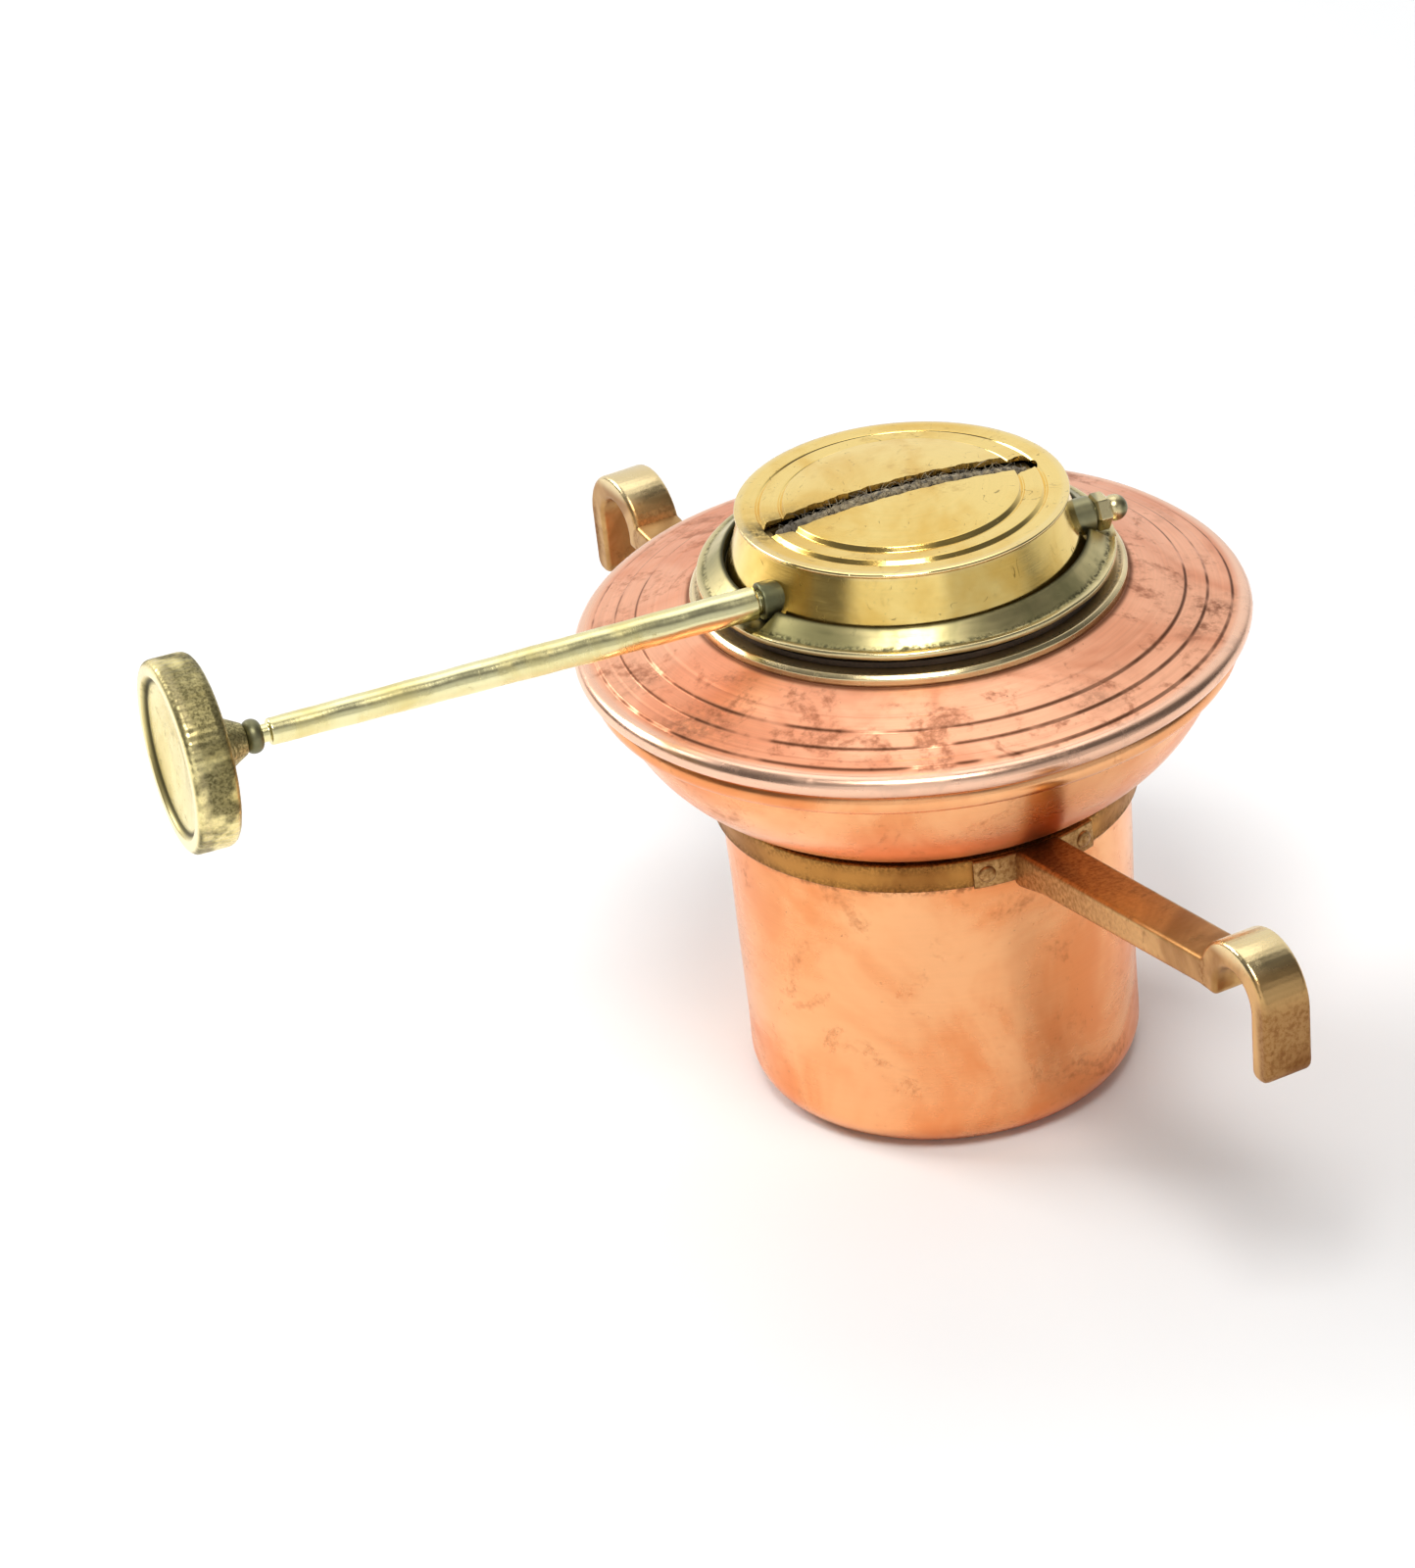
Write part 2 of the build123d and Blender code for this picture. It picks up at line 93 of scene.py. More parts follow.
def roundedOutline(corners, closed=True, spacing=1.0, guard=0.1, steps=5):
    # Corners are rows of (first, second, radius). Each corner becomes an arc tangent to its two runs, whose
    # centre lies on the line that halves the corner. Runs get evenly spaced points, and one near each end.
    corners = np.array(corners, float)
    count = len(corners)
    pieces = []
    for index in range(count):
        here, radius = corners[index, :2], corners[index, 2]
        if not closed and index in (0, count - 1) or radius <= 0:
            pieces.append(here[None])
            continue
        back, ahead = corners[index - 1, :2] - here, corners[(index + 1) % count, :2] - here
        reach = 0.48 * min(np.linalg.norm(back), np.linalg.norm(ahead))
        back, ahead = back / np.linalg.norm(back), ahead / np.linalg.norm(ahead)
        half = acos(max(-1, min(1, back @ ahead))) / 2
        if half > radians(89):
            pieces.append(here[None])
            continue
        run = min(radius / tan(half), reach)
        radius = run * tan(half)
        centre = here + (back + ahead) / np.linalg.norm(back + ahead) * radius / sin(half)
        start, end = here + back * run - centre, here + ahead * run - centre
        sweep = pi - 2 * half
        share = np.linspace(0, 1, steps)[:, None]
        arc = (np.sin((1 - share) * sweep) * start + np.sin(share * sweep) * end) / sin(sweep)
        pieces.append(centre + arc)
    points = []
    for index in range(count if closed else count - 1):
        start, end = pieces[index][-1], pieces[(index + 1) % count][0]
        length = np.linalg.norm(end - start)
        share = np.linspace(0, 1, ceil(length / spacing) + 1)[1:-1]
        if length > 4 * guard:
            share = np.unique(np.concatenate([share, [guard / length, 1 - guard / length]]))
        points += [pieces[index], start + (end - start) * share[:, None]]
    if not closed:
        points.append(pieces[-1])
    return np.concatenate(points)


def bulgedRun(start, end, bulge, steps):
    # an arc from start to end whose middle stands off the straight run by bulge, to the left of the run
    start, end = np.array(start, float), np.array(end, float)
    half = np.linalg.norm(end - start) / 2
    radius = (half**2 + bulge**2) / (2 * bulge)
    along = (end - start) / (2 * half)
    side = np.array([-along[1], along[0]])
    centre = (start + end) / 2 + side * (bulge - radius)
    angle = np.linspace(-1, 1, steps)[:, None] * np.arcsin(half / radius)
    return centre + radius * (np.cos(angle) * side + np.sin(angle) * along)


def gridFaces(rows, columns, closedRows, closedColumns):
    # quads between neighbouring grid points, wrapping round where the grid is closed
    row = np.arange(rows if closedRows else rows - 1)[:, None]
    column = np.arange(columns if closedColumns else columns - 1)[None]
    nextRow, nextColumn = (row + 1) % rows, (column + 1) % columns
    quads = [row * columns + column, row * columns + nextColumn, nextRow * columns + nextColumn]
    quads.append(nextRow * columns + column)
    return np.stack([np.broadcast_to(quad, (row.size, column.size)) for quad in quads], -1).reshape(-1, 4)


def spun(outline, count=256, shape=None, closed=True):
    # A point (height, radius) of the outline becomes (radius cos t, radius sin t, height) for each angle t.
    # shape may change the heights and radii as functions of the angle. Returns the grid and how it closes.
    angle = np.arange(count)[:, None] * 2 * pi / count
    height = np.tile(outline[:, 0], (count, 1))
    radius = np.tile(outline[:, 1], (count, 1))
    if shape:
        height, radius = shape(height, radius, angle)
    return np.stack([radius * np.cos(angle), radius * np.sin(angle), height], -1), True, closed, False


def turnHead(points):
    # turns points about the vertical axis, from the square pose to the way the burner head stands
    turned = points.copy()
    turned[..., 0] = points[..., 0] * cos(headTurn) - points[..., 1] * sin(headTurn)
    turned[..., 1] = points[..., 0] * sin(headTurn) + points[..., 1] * cos(headTurn)
    return turned


def layAlong(part, origin, axis):
    # carries a shape that stands along Z to an origin, with its Z along a level axis
    points, *closes = part
    side = np.array([-axis[1], axis[0], 0])
    laid = origin + points[..., 2:] * axis + points[..., :1] * side + points[..., 1:2] * np.array([0, 0, 1.0])
    return laid, *closes


def onSpindle(part):
    return layAlong(part, spindlePoint, spindleAxis)


def onHead(part):
    return turnHead(part[0]), *part[1:]


def tidyMesh(mesh, sharp):
    # merges doubles, drops faces with no area, points faces outwards and shades smooth but for sharp edges
    work = bmesh.new()
    work.from_mesh(mesh)
    bmesh.ops.remove_doubles(work, verts=work.verts, dist=2e-6)
    bmesh.ops.dissolve_degenerate(work, edges=work.edges, dist=1e-7)
    bmesh.ops.recalc_face_normals(work, faces=work.faces)
    work.to_mesh(mesh)
    work.free()
    mesh.polygons.foreach_set("use_smooth", np.ones(len(mesh.polygons), bool))
    mesh.set_sharp_from_angle(angle=radians(sharp))


def makeMesh(name, parts, sharp=40):
    # Joins grids of points in millimetres into one mesh object. A part is (points, closedRows, closedColumns,
    # capped), and a capped grid gets one face over its first row and one over its last.
    vertices, faces, start = [], [], 0
    for points, closedRows, closedColumns, capped in parts:
        rows, columns = points.shape[:2]
        faces += (gridFaces(rows, columns, closedRows, closedColumns) + start).tolist()
        if capped:
            last = start + (rows - 1) * columns
            faces += [list(range(start + columns - 1, start - 1, -1)), list(range(last, last + columns))]
        vertices.append(points.reshape(-1, 3))
        start += rows * columns
    mesh = bpy.data.meshes.new(name)
    mesh.from_pydata((np.concatenate(vertices) * mm).tolist(), [], faces)
    tidyMesh(mesh, sharp)
    piece = bpy.data.objects.new(name, mesh)
    scene.collection.objects.link(piece)
    return piece


def makePiece(name, node, parts, sharp=40):
    # a shown piece that stands for a CAD node, with its body, slot and finish
    piece = makeMesh(name, parts, sharp)
    finishPiece(piece, node)
    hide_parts(node)
    return piece


def finishPiece(piece, node):
    piece.data.materials.append(finishes[nodeSlot[node]])
    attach(piece, nodeBody[node])


def combine(piece, operation, part, sharp=40):
    # cuts a part out of a piece or joins it on, applies the result and removes the helper
    helper = makeMesh("helper", [part])
    modifier = piece.modifiers.new("combine", "BOOLEAN")
    modifier.operation, modifier.solver, modifier.object = operation, "EXACT", helper
    bpy.context.view_layer.update()
    result = bpy.data.meshes.new_from_object(piece.evaluated_get(bpy.context.evaluated_depsgraph_get()))
    piece.modifiers.clear()
    old, piece.data = piece.data, result
    bpy.data.meshes.remove(old)
    bpy.data.objects.remove(helper)
    tidyMesh(result, sharp)


def box(left, right, near, far):
    # the corners of a rectangle, anticlockwise
    return np.array([(left, near), (right, near), (right, far), (left, far)])


def prism(outline, low, high):
    # an upright prism over an outline, between two heights
    rings = [np.concatenate([outline, np.full((len(outline), 1), height)], 1) for height in (low, high)]
    return np.stack(rings), False, True, True


def slab(outline, width, rounding, steps=5):
    # A plate of a given width whose outline shrinks along its own normals by a quarter circle near each face,
    # so that its edges are round. The outline lies in the first two coordinates.
    ahead = np.roll(outline, -1, 0) - np.roll(outline, 1, 0)
    normal = np.stack([ahead[:, 1], -ahead[:, 0]], -1) / np.linalg.norm(ahead, axis=1)[:, None]
    area = np.sum(outline[:, 0] * np.roll(outline[:, 1], -1) - np.roll(outline[:, 0], -1) * outline[:, 1])
    normal *= 1 if area > 0 else -1
    turn = np.linspace(0, pi / 2, steps)
    inset = rounding * (1 - np.cos(turn))
    depth = width / 2 - rounding + rounding * np.sin(turn)
    inset, depth = np.append(inset, rounding + 0.05), np.append(depth, width / 2)
    inset = np.concatenate([inset[::-1], inset])
    depth = np.concatenate([-depth[::-1], depth])
    flat = outline[None] - normal[None] * inset[:, None, None]
    return np.concatenate([flat, np.tile(depth[:, None, None], (1, len(outline), 1))], -1), False, True, True


class Wire:
    # a socket in an expression; each operator adds one Math node
    def __init__(self, tree, socket):
        self.tree, self.socket = tree, socket

    def math(self, operation, first, *others):
        return self.tree.make("ShaderNodeMath", {"operation": operation}, dict(enumerate((first, *others))))

    def __add__(self, other):
        return self.math("ADD", self, other)

    def __sub__(self, other):
        return self.math("SUBTRACT", self, other)

    def __rsub__(self, other):
        return self.math("SUBTRACT", other, self)

    def __mul__(self, other):
        return self.math("MULTIPLY", self, other)

    def __truediv__(self, other):
        return self.math("DIVIDE", self, other)

    def __pow__(self, other):
        return self.math("POWER", self, other)

    __radd__ = __add__
    __rmul__ = __mul__

    def clamped(self):
        return self.tree.make("ShaderNodeClamp", {}, {0: self})

    def step(self, low, high):
        # smooth step from 0 at low to 1 at high
        settings = {"interpolation_type": "SMOOTHSTEP"}
        return self.tree.make("ShaderNodeMapRange", settings, {0: self, 1: low, 2: high})

    def near(self, centre, width):
        # 1 at centre, falling smoothly to 0 at width from it
        return 1 - self.math("ABSOLUTE", self - centre).step(0, width)

    def most(self, other):
        return self.math("MAXIMUM", self, other)


class Shader:
    # a material or a world, and the one method that makes any of its nodes
    def __init__(self, owner):
        self.owner = owner
        owner.use_nodes = True
        self.nodes, self.links = owner.node_tree.nodes, owner.node_tree.links
        self.nodes.clear()

    def make(self, kind, settings, inputs, output=0):
        node = self.nodes.new(kind)
        for key, value in settings.items():
            setattr(node, key, value)
        for key, value in inputs.items():
            if isinstance(value, Wire):
                self.links.new(value.socket, node.inputs[key])
            else:
                node.inputs[key].default_value = value
        return Wire(self, node.outputs[output]) if node.outputs else None

    def place(self, kind):
        # Object coordinates in millimetres: as they are, squared up with the burner head, or centred on the
        # spindle and swapped so that the third one runs along it.
        point = self.make("ShaderNodeTexCoord", {}, {}, "Object")
        if kind != "font":
            origin = tuple(spindlePoint * mm) if kind == "spindle" else (0, 0, 0)
            inputs = {"Vector": point, "Location": origin, "Rotation": (0, 0, headTurn)}
            point = self.make("ShaderNodeMapping", {"vector_type": "TEXTURE"}, inputs)
        point = self.make("ShaderNodeVectorMath", {"operation": "SCALE"}, {0: point, "Scale": 1 / mm})
        node = self.make("ShaderNodeSeparateXYZ", {}, {0: point}).socket.node
        x, y, z = [Wire(self, output) for output in node.outputs]
        return (point, y, z, x) if kind == "spindle" else (point, x, y, z)

    def join(self, x, y, z):
        return self.make("ShaderNodeCombineXYZ", {}, {0: x, 1: y, 2: z})

    def noise(self, vector, scale, detail=3, roughness=0.55, distortion=0.0):
        inputs = {"Vector": vector, "Scale": scale, "Detail": detail, "Roughness": roughness}
        return self.make("ShaderNodeTexNoise", {}, inputs | {"Distortion": distortion}, "Fac")

    def blend(self, factor, first, second, kind="MIX"):
        # a colour between two colours
        settings = {"data_type": "RGBA", "blend_type": kind}
        first, second = [value if isinstance(value, Wire) else (*value, 1) for value in (first, second)]
        return self.make("ShaderNodeMix", settings, {0: factor, 6: first, 7: second}, 2)

    def bump(self, height, strength, distance):
        return self.make("ShaderNodeBump", {}, {"Height": height, "Strength": strength, "Distance": distance})

    def finish(self, inputs):
        # the one Principled shader of a material; constants go straight onto its sockets
        surface = self.make("ShaderNodeBsdfPrincipled", {}, inputs)
        self.make("ShaderNodeOutputMaterial", {}, {"Surface": surface})
        return self.owner


def spunLines(shader, x, y, z, radius, pitch, run):
    # lathe lines: noise that changes quickly with radius and height and slowly round the axis
    vector = shader.join(x / run, y / run, z / pitch)
    inputs = {"Vector": vector, "W": radius / pitch, "Scale": 1.0, "Detail": 2.0}
    return shader.make("ShaderNodeTexNoise", {"noise_dimensions": "4D"}, inputs, "Fac")


def metalFinish(name, look, marksAndPaintedLight=None, wear=None):
    # Worn metal: a bright colour, cloudy tarnish, stains, lathe lines, fine scratches and pits.
    # marks gives a mask of its own, from 0 to 1, that turns the metal towards the look's dark colour: dirt,
    # patina, painted shade, and on the arms a painted reflection.
    # wear gives one where handling has rubbed an edge bright and smooth.
    shader = Shader(bpy.data.materials.new(name))
    point, x, y, z = shader.place(look["place"])
    radius = (x * x + y * y) ** 0.5
    clouds = shader.noise(point, look["cloudScale"], 4, 0.6, 0.8)
    patches = shader.noise(point, look["patchScale"], 4, 0.62, 1.2)
    grain = shader.noise(point, look["patchScale"] * 9, 4, 0.7)
    pits = shader.noise(point, look["pitScale"], 2, 0.6)
    lines = spunLines(shader, x, y, z, radius, look["linePitch"], 14)
    scratches = spunLines(shader, x, y, z, radius, look["linePitch"] * 2.5, 2.5)
    dull = clouds.step(*look["dullFrom"])
    stain = (patches * 0.7 + grain * 0.3).step(*look["stainFrom"])
    spots = pits.step(*look["pitFrom"])
    colour = shader.blend(dull, look["bright"], look["dull"])
    colour = shader.blend(stain * look["stainAmount"], colour, look["stain"])
    colour = shader.blend(spots * look["pitAmount"], colour, look["dark"])
    shade = 1 - look["lineColour"] + lines * (2 * look["lineColour"])
    colour = shader.blend(1.0, colour, shader.join(shade, shade, shade), "MULTIPLY")
    roughness = look["roughness"] + dull * look["dullRough"] + stain * look["stainRough"]
    roughness = roughness + (scratches - 0.5) * look["scratchRough"]
    if marksAndPaintedLight:
        mask = marksAndPaintedLight(shader, x, y, z, radius, grain).clamped()
        colour = shader.blend(mask, colour, look["dark"])
        roughness = roughness + mask * look["darkRough"]
    if wear:
        rubbed = (wear(z, radius) * (0.4 + clouds * 0.9)).clamped()
        colour = shader.blend(rubbed * 0.8, colour, look["rubbed"])
        roughness = roughness - rubbed * look["rubbedPolish"]
    height = lines * look["lineDepth"] + grain * look["grainDepth"] + scratches * look["lineDepth"] * 0.6
    normal = shader.bump(height - spots * look["pitDepth"], 1.0, mm)
    inputs = {"Base Color": colour, "Metallic": 1.0, "Roughness": roughness.clamped(), "Normal": normal}
    return shader.finish(inputs)


stageLook = {
    "floorColour": (0.88, 0.88, 0.88), "floorRoughness": 0.9, "floorSize": 6.0,
    "sky": (0.96, 0.98, 1.0), "skyStrength": 0.12,
}
viewLook = {
    "azimuth": -28.4, "elevation": 28.86, "roll": 5.96, "distance": 0.676, "focus": (0, 0, 0.0464),
    "shift": (-0.0235, -0.0100), "lens": 138,
}
lampLooks = {  # place, target, size, power in watts, colour
    "frontLamp": ((-0.30, -0.52, 1.18), (0, 0, 0.04), 0.45, 9.3, (1.0, 0.99, 0.97)),
    "topLamp": ((0.15, 0.35, 1.2), (0, 0, 0.05), 0.8, 1.8, (1.0, 1.0, 1.0)),
    "backLamp": ((-0.6, 0.8, 0.7), (0, 0, 0.05), 0.5, 8.7, (1.0, 1.0, 1.0)),
}
skyCards = {  # direction, cosines at which the card begins and is full, strength that it adds
    "backdrop": ((0.42, 0.77, 0.42), 0.45, 0.85, 0.86),
    "leftCard": ((-0.60, -0.80, 0.05), 0.80, 0.93, 0.84),
    "rightCard": ((0.35, -0.93, 0.05), 0.80, 0.93, 0.50),
}


def buildSky():
    # an even sky with broad soft cards: each fades in as the direction nears the card's own
    shader = Shader(bpy.data.worlds.new("studio"))
    direction = shader.make("ShaderNodeTexCoord", {}, {}, "Generated")
    strength = stageLook["skyStrength"]
    for place, begin, full, amount in skyCards.values():
        inputs = {0: direction, 1: tuple(Vector(place).normalized())}
        cosine = shader.make("ShaderNodeVectorMath", {"operation": "DOT_PRODUCT"}, inputs, "Value")
        strength = cosine.step(begin, full) * amount + strength
    sky = shader.make("ShaderNodeBackground", {}, {"Color": (*stageLook["sky"], 1), "Strength": strength})
    shader.make("ShaderNodeOutputWorld", {}, {"Surface": sky})
    scene.world = shader.owner


def buildStage():
    size = stageLook["floorSize"] / 2
    mesh = bpy.data.meshes.new("floor")
    corners = [(-size, -size, 0), (size, -size, 0), (size, size, 0), (-size, size, 0)]
    mesh.from_pydata(corners, [], [(0, 1, 2, 3)])
    floor = bpy.data.objects.new("floor", mesh)
    scene.collection.objects.link(floor)
    paper = Shader(bpy.data.materials.new("floorPaper"))
    inputs = {"Base Color": (*stageLook["floorColour"], 1), "Roughness": stageLook["floorRoughness"]}
    mesh.materials.append(paper.finish(inputs))
    scene.view_settings.view_transform = "Standard"
    for name, (place, target, size, power, colour) in lampLooks.items():
        lamp = bpy.data.lights.new(name, "AREA")
        lamp.size, lamp.energy, lamp.color = size, power, colour
        lampObject = bpy.data.objects.new(name, lamp)
        lampObject.location = place
        lampObject.rotation_euler = (Vector(target) - Vector(place)).to_track_quat("-Z", "Y").to_euler()
        scene.collection.objects.link(lampObject)
    print("stage built")


def buildCamera():
    azimuth, elevation = radians(viewLook["azimuth"]), radians(viewLook["elevation"])
    back = Vector((sin(azimuth) * cos(elevation), -cos(azimuth) * cos(elevation), sin(elevation)))
    focus = Vector(viewLook["focus"])
    place = focus + back * viewLook["distance"]
    roll = Matrix.Rotation(-radians(viewLook["roll"]), 3, "Z")
    aim = focus + back.to_track_quat("Z", "Y").to_matrix() @ roll @ Vector((*viewLook["shift"], 0))
    turn = (place - aim).to_track_quat("Z", "Y").to_matrix() @ roll
    camera = bpy.data.cameras.new("camera")
    camera.lens = viewLook["lens"]
    cameraObject = bpy.data.objects.new("camera", camera)
    cameraObject.matrix_world = Matrix.Translation(place) @ turn.to_4x4()
    scene.collection.objects.link(cameraObject)
    scene.camera = cameraObject
    print("camera built")


buildSky()
buildStage()
buildCamera()

fontNodes, headNodes = ("font_cup", "neck_band", "font_top"), ("filler_collar", "burner_base", "drum", "dome")
cupSpan, bandSpan, topSpan = [nodeSpan(node) for node in fontNodes]
cupRadius, bandRadius, topRadius = [nodeRadius(node) for node in fontNodes]
collarSpan, baseSpan, drumSpan, domeSpan = [nodeSpan(node) for node in headNodes]
collarRadius, baseRadius, drumRadius, domeRadius = [nodeRadius(node) for node in headNodes]
wickSpan = nodeSpan("wick")

plainLook = {
    "place": "font", "cloudScale": 0.06, "patchScale": 0.12, "pitScale": 1.6, "linePitch": 0.25,
    "dullFrom": (0.4, 0.65), "stainFrom": (0.55, 0.72), "pitFrom": (0.72, 0.8),
    "stainAmount": 0.6, "pitAmount": 0.5,
    "lineColour": 0.05, "roughness": 0.22, "dullRough": 0.1, "stainRough": 0.15, "lineDepth": 0.006,
    "grainDepth": 0.004, "pitDepth": 0.02, "dark": (0.05, 0.03, 0.01), "rubbed": (0.92, 0.76, 0.42),
    "scratchRough": 0.14, "darkRough": 0.3, "rubbedPolish": 0.14,
}
copperLook = {
    **plainLook, "bright": (0.96, 0.48, 0.22), "dull": (0.84, 0.30, 0.105), "stain": (0.45, 0.14, 0.045),
    "dark": (0.16, 0.05, 0.02), "lineColour": 0.04, "roughness": 0.22, "cloudScale": 0.045,
    "dullFrom": (0.36, 0.66),
}
topLook = {
    **plainLook, "bright": (0.92, 0.45, 0.27), "dull": (0.76, 0.31, 0.17), "stain": (0.38, 0.14, 0.07),
    "cloudScale": 0.05, "stainFrom": (0.52, 0.66), "stainAmount": 0.75,
    "dark": (0.10, 0.035, 0.015), "rubbed": (0.98, 0.66, 0.48), "lineColour": 0.12, "roughness": 0.34,
    "lineDepth": 0.014,
    # radii of the dark groove lines, which are dirt and painted shade
    "dirtAndShadeInsets": (2.2, 4.9, 7.3), "dirtAndShadeWidth": 0.3,
}
bandLook = {
    **plainLook, "bright": (0.50, 0.23, 0.055), "dull": (0.32, 0.13, 0.03), "stain": (0.16, 0.07, 0.018),
    "patchScale": 0.3, "roughness": 0.38,
}
armLook = {
    **plainLook, "bright": (0.66, 0.40, 0.16), "dull": (0.36, 0.18, 0.06), "stain": (0.18, 0.08, 0.025),
    # the dark colour also gives the painted reflection of the copper rail on the hook's outer leg
    "dark": (0.20, 0.07, 0.015), "patchScale": 0.2, "roughness": 0.3, "lineColour": 0.02, "lineDepth": 0.0,
    "grainDepth": 0.02, "creaseInset": 11.8,
}
collarLook = {
    **plainLook, "bright": (0.80, 0.62, 0.36), "dull": (0.52, 0.38, 0.20), "stain": (0.16, 0.11, 0.05),
    "dark": (0.04, 0.03, 0.015), "patchScale": 0.25, "roughness": 0.3,
}
baseLook = {
    **plainLook, "place": "head", "bright": (0.62, 0.52, 0.25), "dull": (0.28, 0.25, 0.11),
    "stain": (0.10, 0.09, 0.04), "dark": (0.04, 0.04, 0.02), "patchScale": 0.2, "roughness": 0.3,
}
capLook = {
    **plainLook, "place": "head", "bright": (0.95, 0.70, 0.24), "dull": (0.84, 0.54, 0.13),
    "stain": (0.45, 0.24, 0.04), "dark": (0.13, 0.09, 0.02), "roughness": 0.13, "lineDepth": 0.004,
}
rodLook = {
    **plainLook, "place": "spindle", "bright": (0.95, 0.88, 0.50), "dull": (0.82, 0.70, 0.30),
    "stain": (0.45, 0.35, 0.12), "roughness": 0.22, "patchScale": 0.2,
}
knobLook = {
    **plainLook, "place": "spindle", "bright": (0.96, 0.82, 0.38), "dull": (0.78, 0.62, 0.22),
    "stain": (0.20, 0.17, 0.07), "dark": (0.10, 0.085, 0.035), "patchScale": 0.35, "roughness": 0.22,
    "creviceInset": 2.2,
}
darkLook = {
    **plainLook, "place": "head", "bright": (0.34, 0.31, 0.17), "dull": (0.15, 0.15, 0.08),
    "stain": (0.07, 0.07, 0.04), "roughness": 0.36, "patchScale": 0.4,
}
tubeLook = {
    **plainLook, "place": "head", "bright": (0.62, 0.46, 0.20), "dull": (0.42, 0.30, 0.12),
    "stain": (0.16, 0.11, 0.05), "roughness": 0.38,
}


def copperMarksAndShade(shader, x, y, z, radius, grain):
    # painted shade under the band and under the rolled bead, broken up by grain, a dark line above the band, and
    # darker at the foot
    shadeUnderBand = z.near(bandSpan[0][2] - 0.3, 1.0) * grain.step(0.4, 0.6) * 0.6
    shadeUnderBead = z.near(topSpan[0][2] - 2.9, 0.8) * grain.step(0.35, 0.65) * 0.5
    aboveBand = z.near(bandSpan[1][2] + 0.2, 0.7) * 0.6
    foot = (1 - z.step(0.1, 1.6)) * grain.step(0.4, 0.7) * 0.5
    return shadeUnderBand.most(shadeUnderBead).most(aboveBand).most(foot)


def topMarksAndShade(shader, x, y, z, radius, grain):
    # dirt and painted shade in the spun grooves, broken up round the circle, a dark ring at the collar's foot,
    # painted shade under the rolled rim, and brown smears near the edge
    worn = shader.noise(shader.join(x / 9, y / 9, 0.0), 1.0, 3, 0.6).step(0.36, 0.56)
    mask = radius.near(collarRadius + 0.15, 0.6) * 0.8
    # dirt and painted shade in the grooves
    for inset in topLook["dirtAndShadeInsets"]:
        mask = mask.most(radius.near(topRadius - inset, topLook["dirtAndShadeWidth"]) * (0.1 + worn * 0.8))
    # painted shade on the underside of the rolled rim
    under = (1 - z.step(topSpan[0][2] + 0.1, topSpan[0][2] + 0.9)) * 0.8
    smears = shader.noise(shader.join(x / 16, y / 16, 0.3), 1.0, 4, 0.65).step(0.5, 0.68)
    smears = smears * radius.step(topRadius - 11, topRadius - 4)
    smears = smears * (1 - radius.step(topRadius - 2.2, topRadius - 1.2))
    return mask.most(under).most(smears * grain.step(0.3, 0.6) * 0.5)


def bandMarks(shader, x, y, z, radius, grain):
    # dirt along both edges of the band
    edges = 1 - z.near((bandSpan[0][2] + bandSpan[1][2]) / 2, (bandSpan[1][2] - bandSpan[0][2]) * 0.62)
    return edges * grain.step(0.35, 0.6) * 0.7


def armMarksAndReflection(shader, x, y, z, radius, grain):
    # Brown tarnish that thins out from the band towards the hook, darker where the hook meets the bar, and on the
    # hook's outer leg a painted reddish-brown reflection of the copper rail.
    fade = 1 - radius.step(bandRadius + 4, bandRadius + 36)
    reach, crown = nodeSpan("back_arm")[1][1:]
    crease = radius.near(reach - armLook["creaseInset"], 1.2) * grain.step(0.4, 0.6) * 0.5
    # painted reflection of the copper rail on the hook's outer leg
    leg = radius.step(reach - 2.2, reach - 0.9) * (1 - z.step(crown - 6.5, crown - 3.0))
    leg = leg * (0.55 + grain.step(0.4, 0.65) * 0.25)
    return (fade * (0.25 + grain.step(0.35, 0.65) * 0.5)).most(crease).most(leg)


def collarMarksAndShade(shader, x, y, z, radius, grain):
    # painted shade darkens the bore and the inner part of the upper face, under the burner base's flange, and a
    # line of dirt runs round the upper face
    # painted shade under the burner base's flange
    inside = 1 - radius.step(collarRadius - 3.4, collarRadius - 1.7)
    return inside.most(radius.near(collarRadius - 0.9, 0.3) * grain.step(0.4, 0.6) * 0.6)


def baseMarksAndShade(shader, x, y, z, radius, grain):
    # dark at the drum's foot, painted shade on everything below the flange, and dirt inside the flange's edge
    foot = radius.near(drumRadius + 0.1, 0.7)
    # painted shade on everything below the flange
    under = 1 - z.step(baseSpan[1][2] - 3.0, baseSpan[1][2] - 2.4)
    return foot.most(under).most(radius.near(baseRadius - 1.0, 0.5) * grain.step(0.4, 0.6) * 0.8)


def capMarks(shader, x, y, z, radius, grain):
    # darker at the drum's foot, soot at the slot's end by the rod, and a few thin random scratches
    foot = (1 - z.step(drumSpan[0][2] + 0.1, drumSpan[0][2] + 1.0)) * 0.8
    soot = y.near(0.3, 4.5) * (1 - x.step(-16.5, -6.0)) * grain.step(0.3, 0.6)
    soot = soot * z.step(drumSpan[1][2], drumSpan[1][2] + 0.3)
    wander = shader.noise(shader.join(x / 5, y / 5, z / 7), 1.0, 2, 0.5, 0.4)
    scratch = wander.near(0.5, 0.006) * grain.step(0.5, 0.6) * 0.7
    return foot.most(soot).most(scratch)


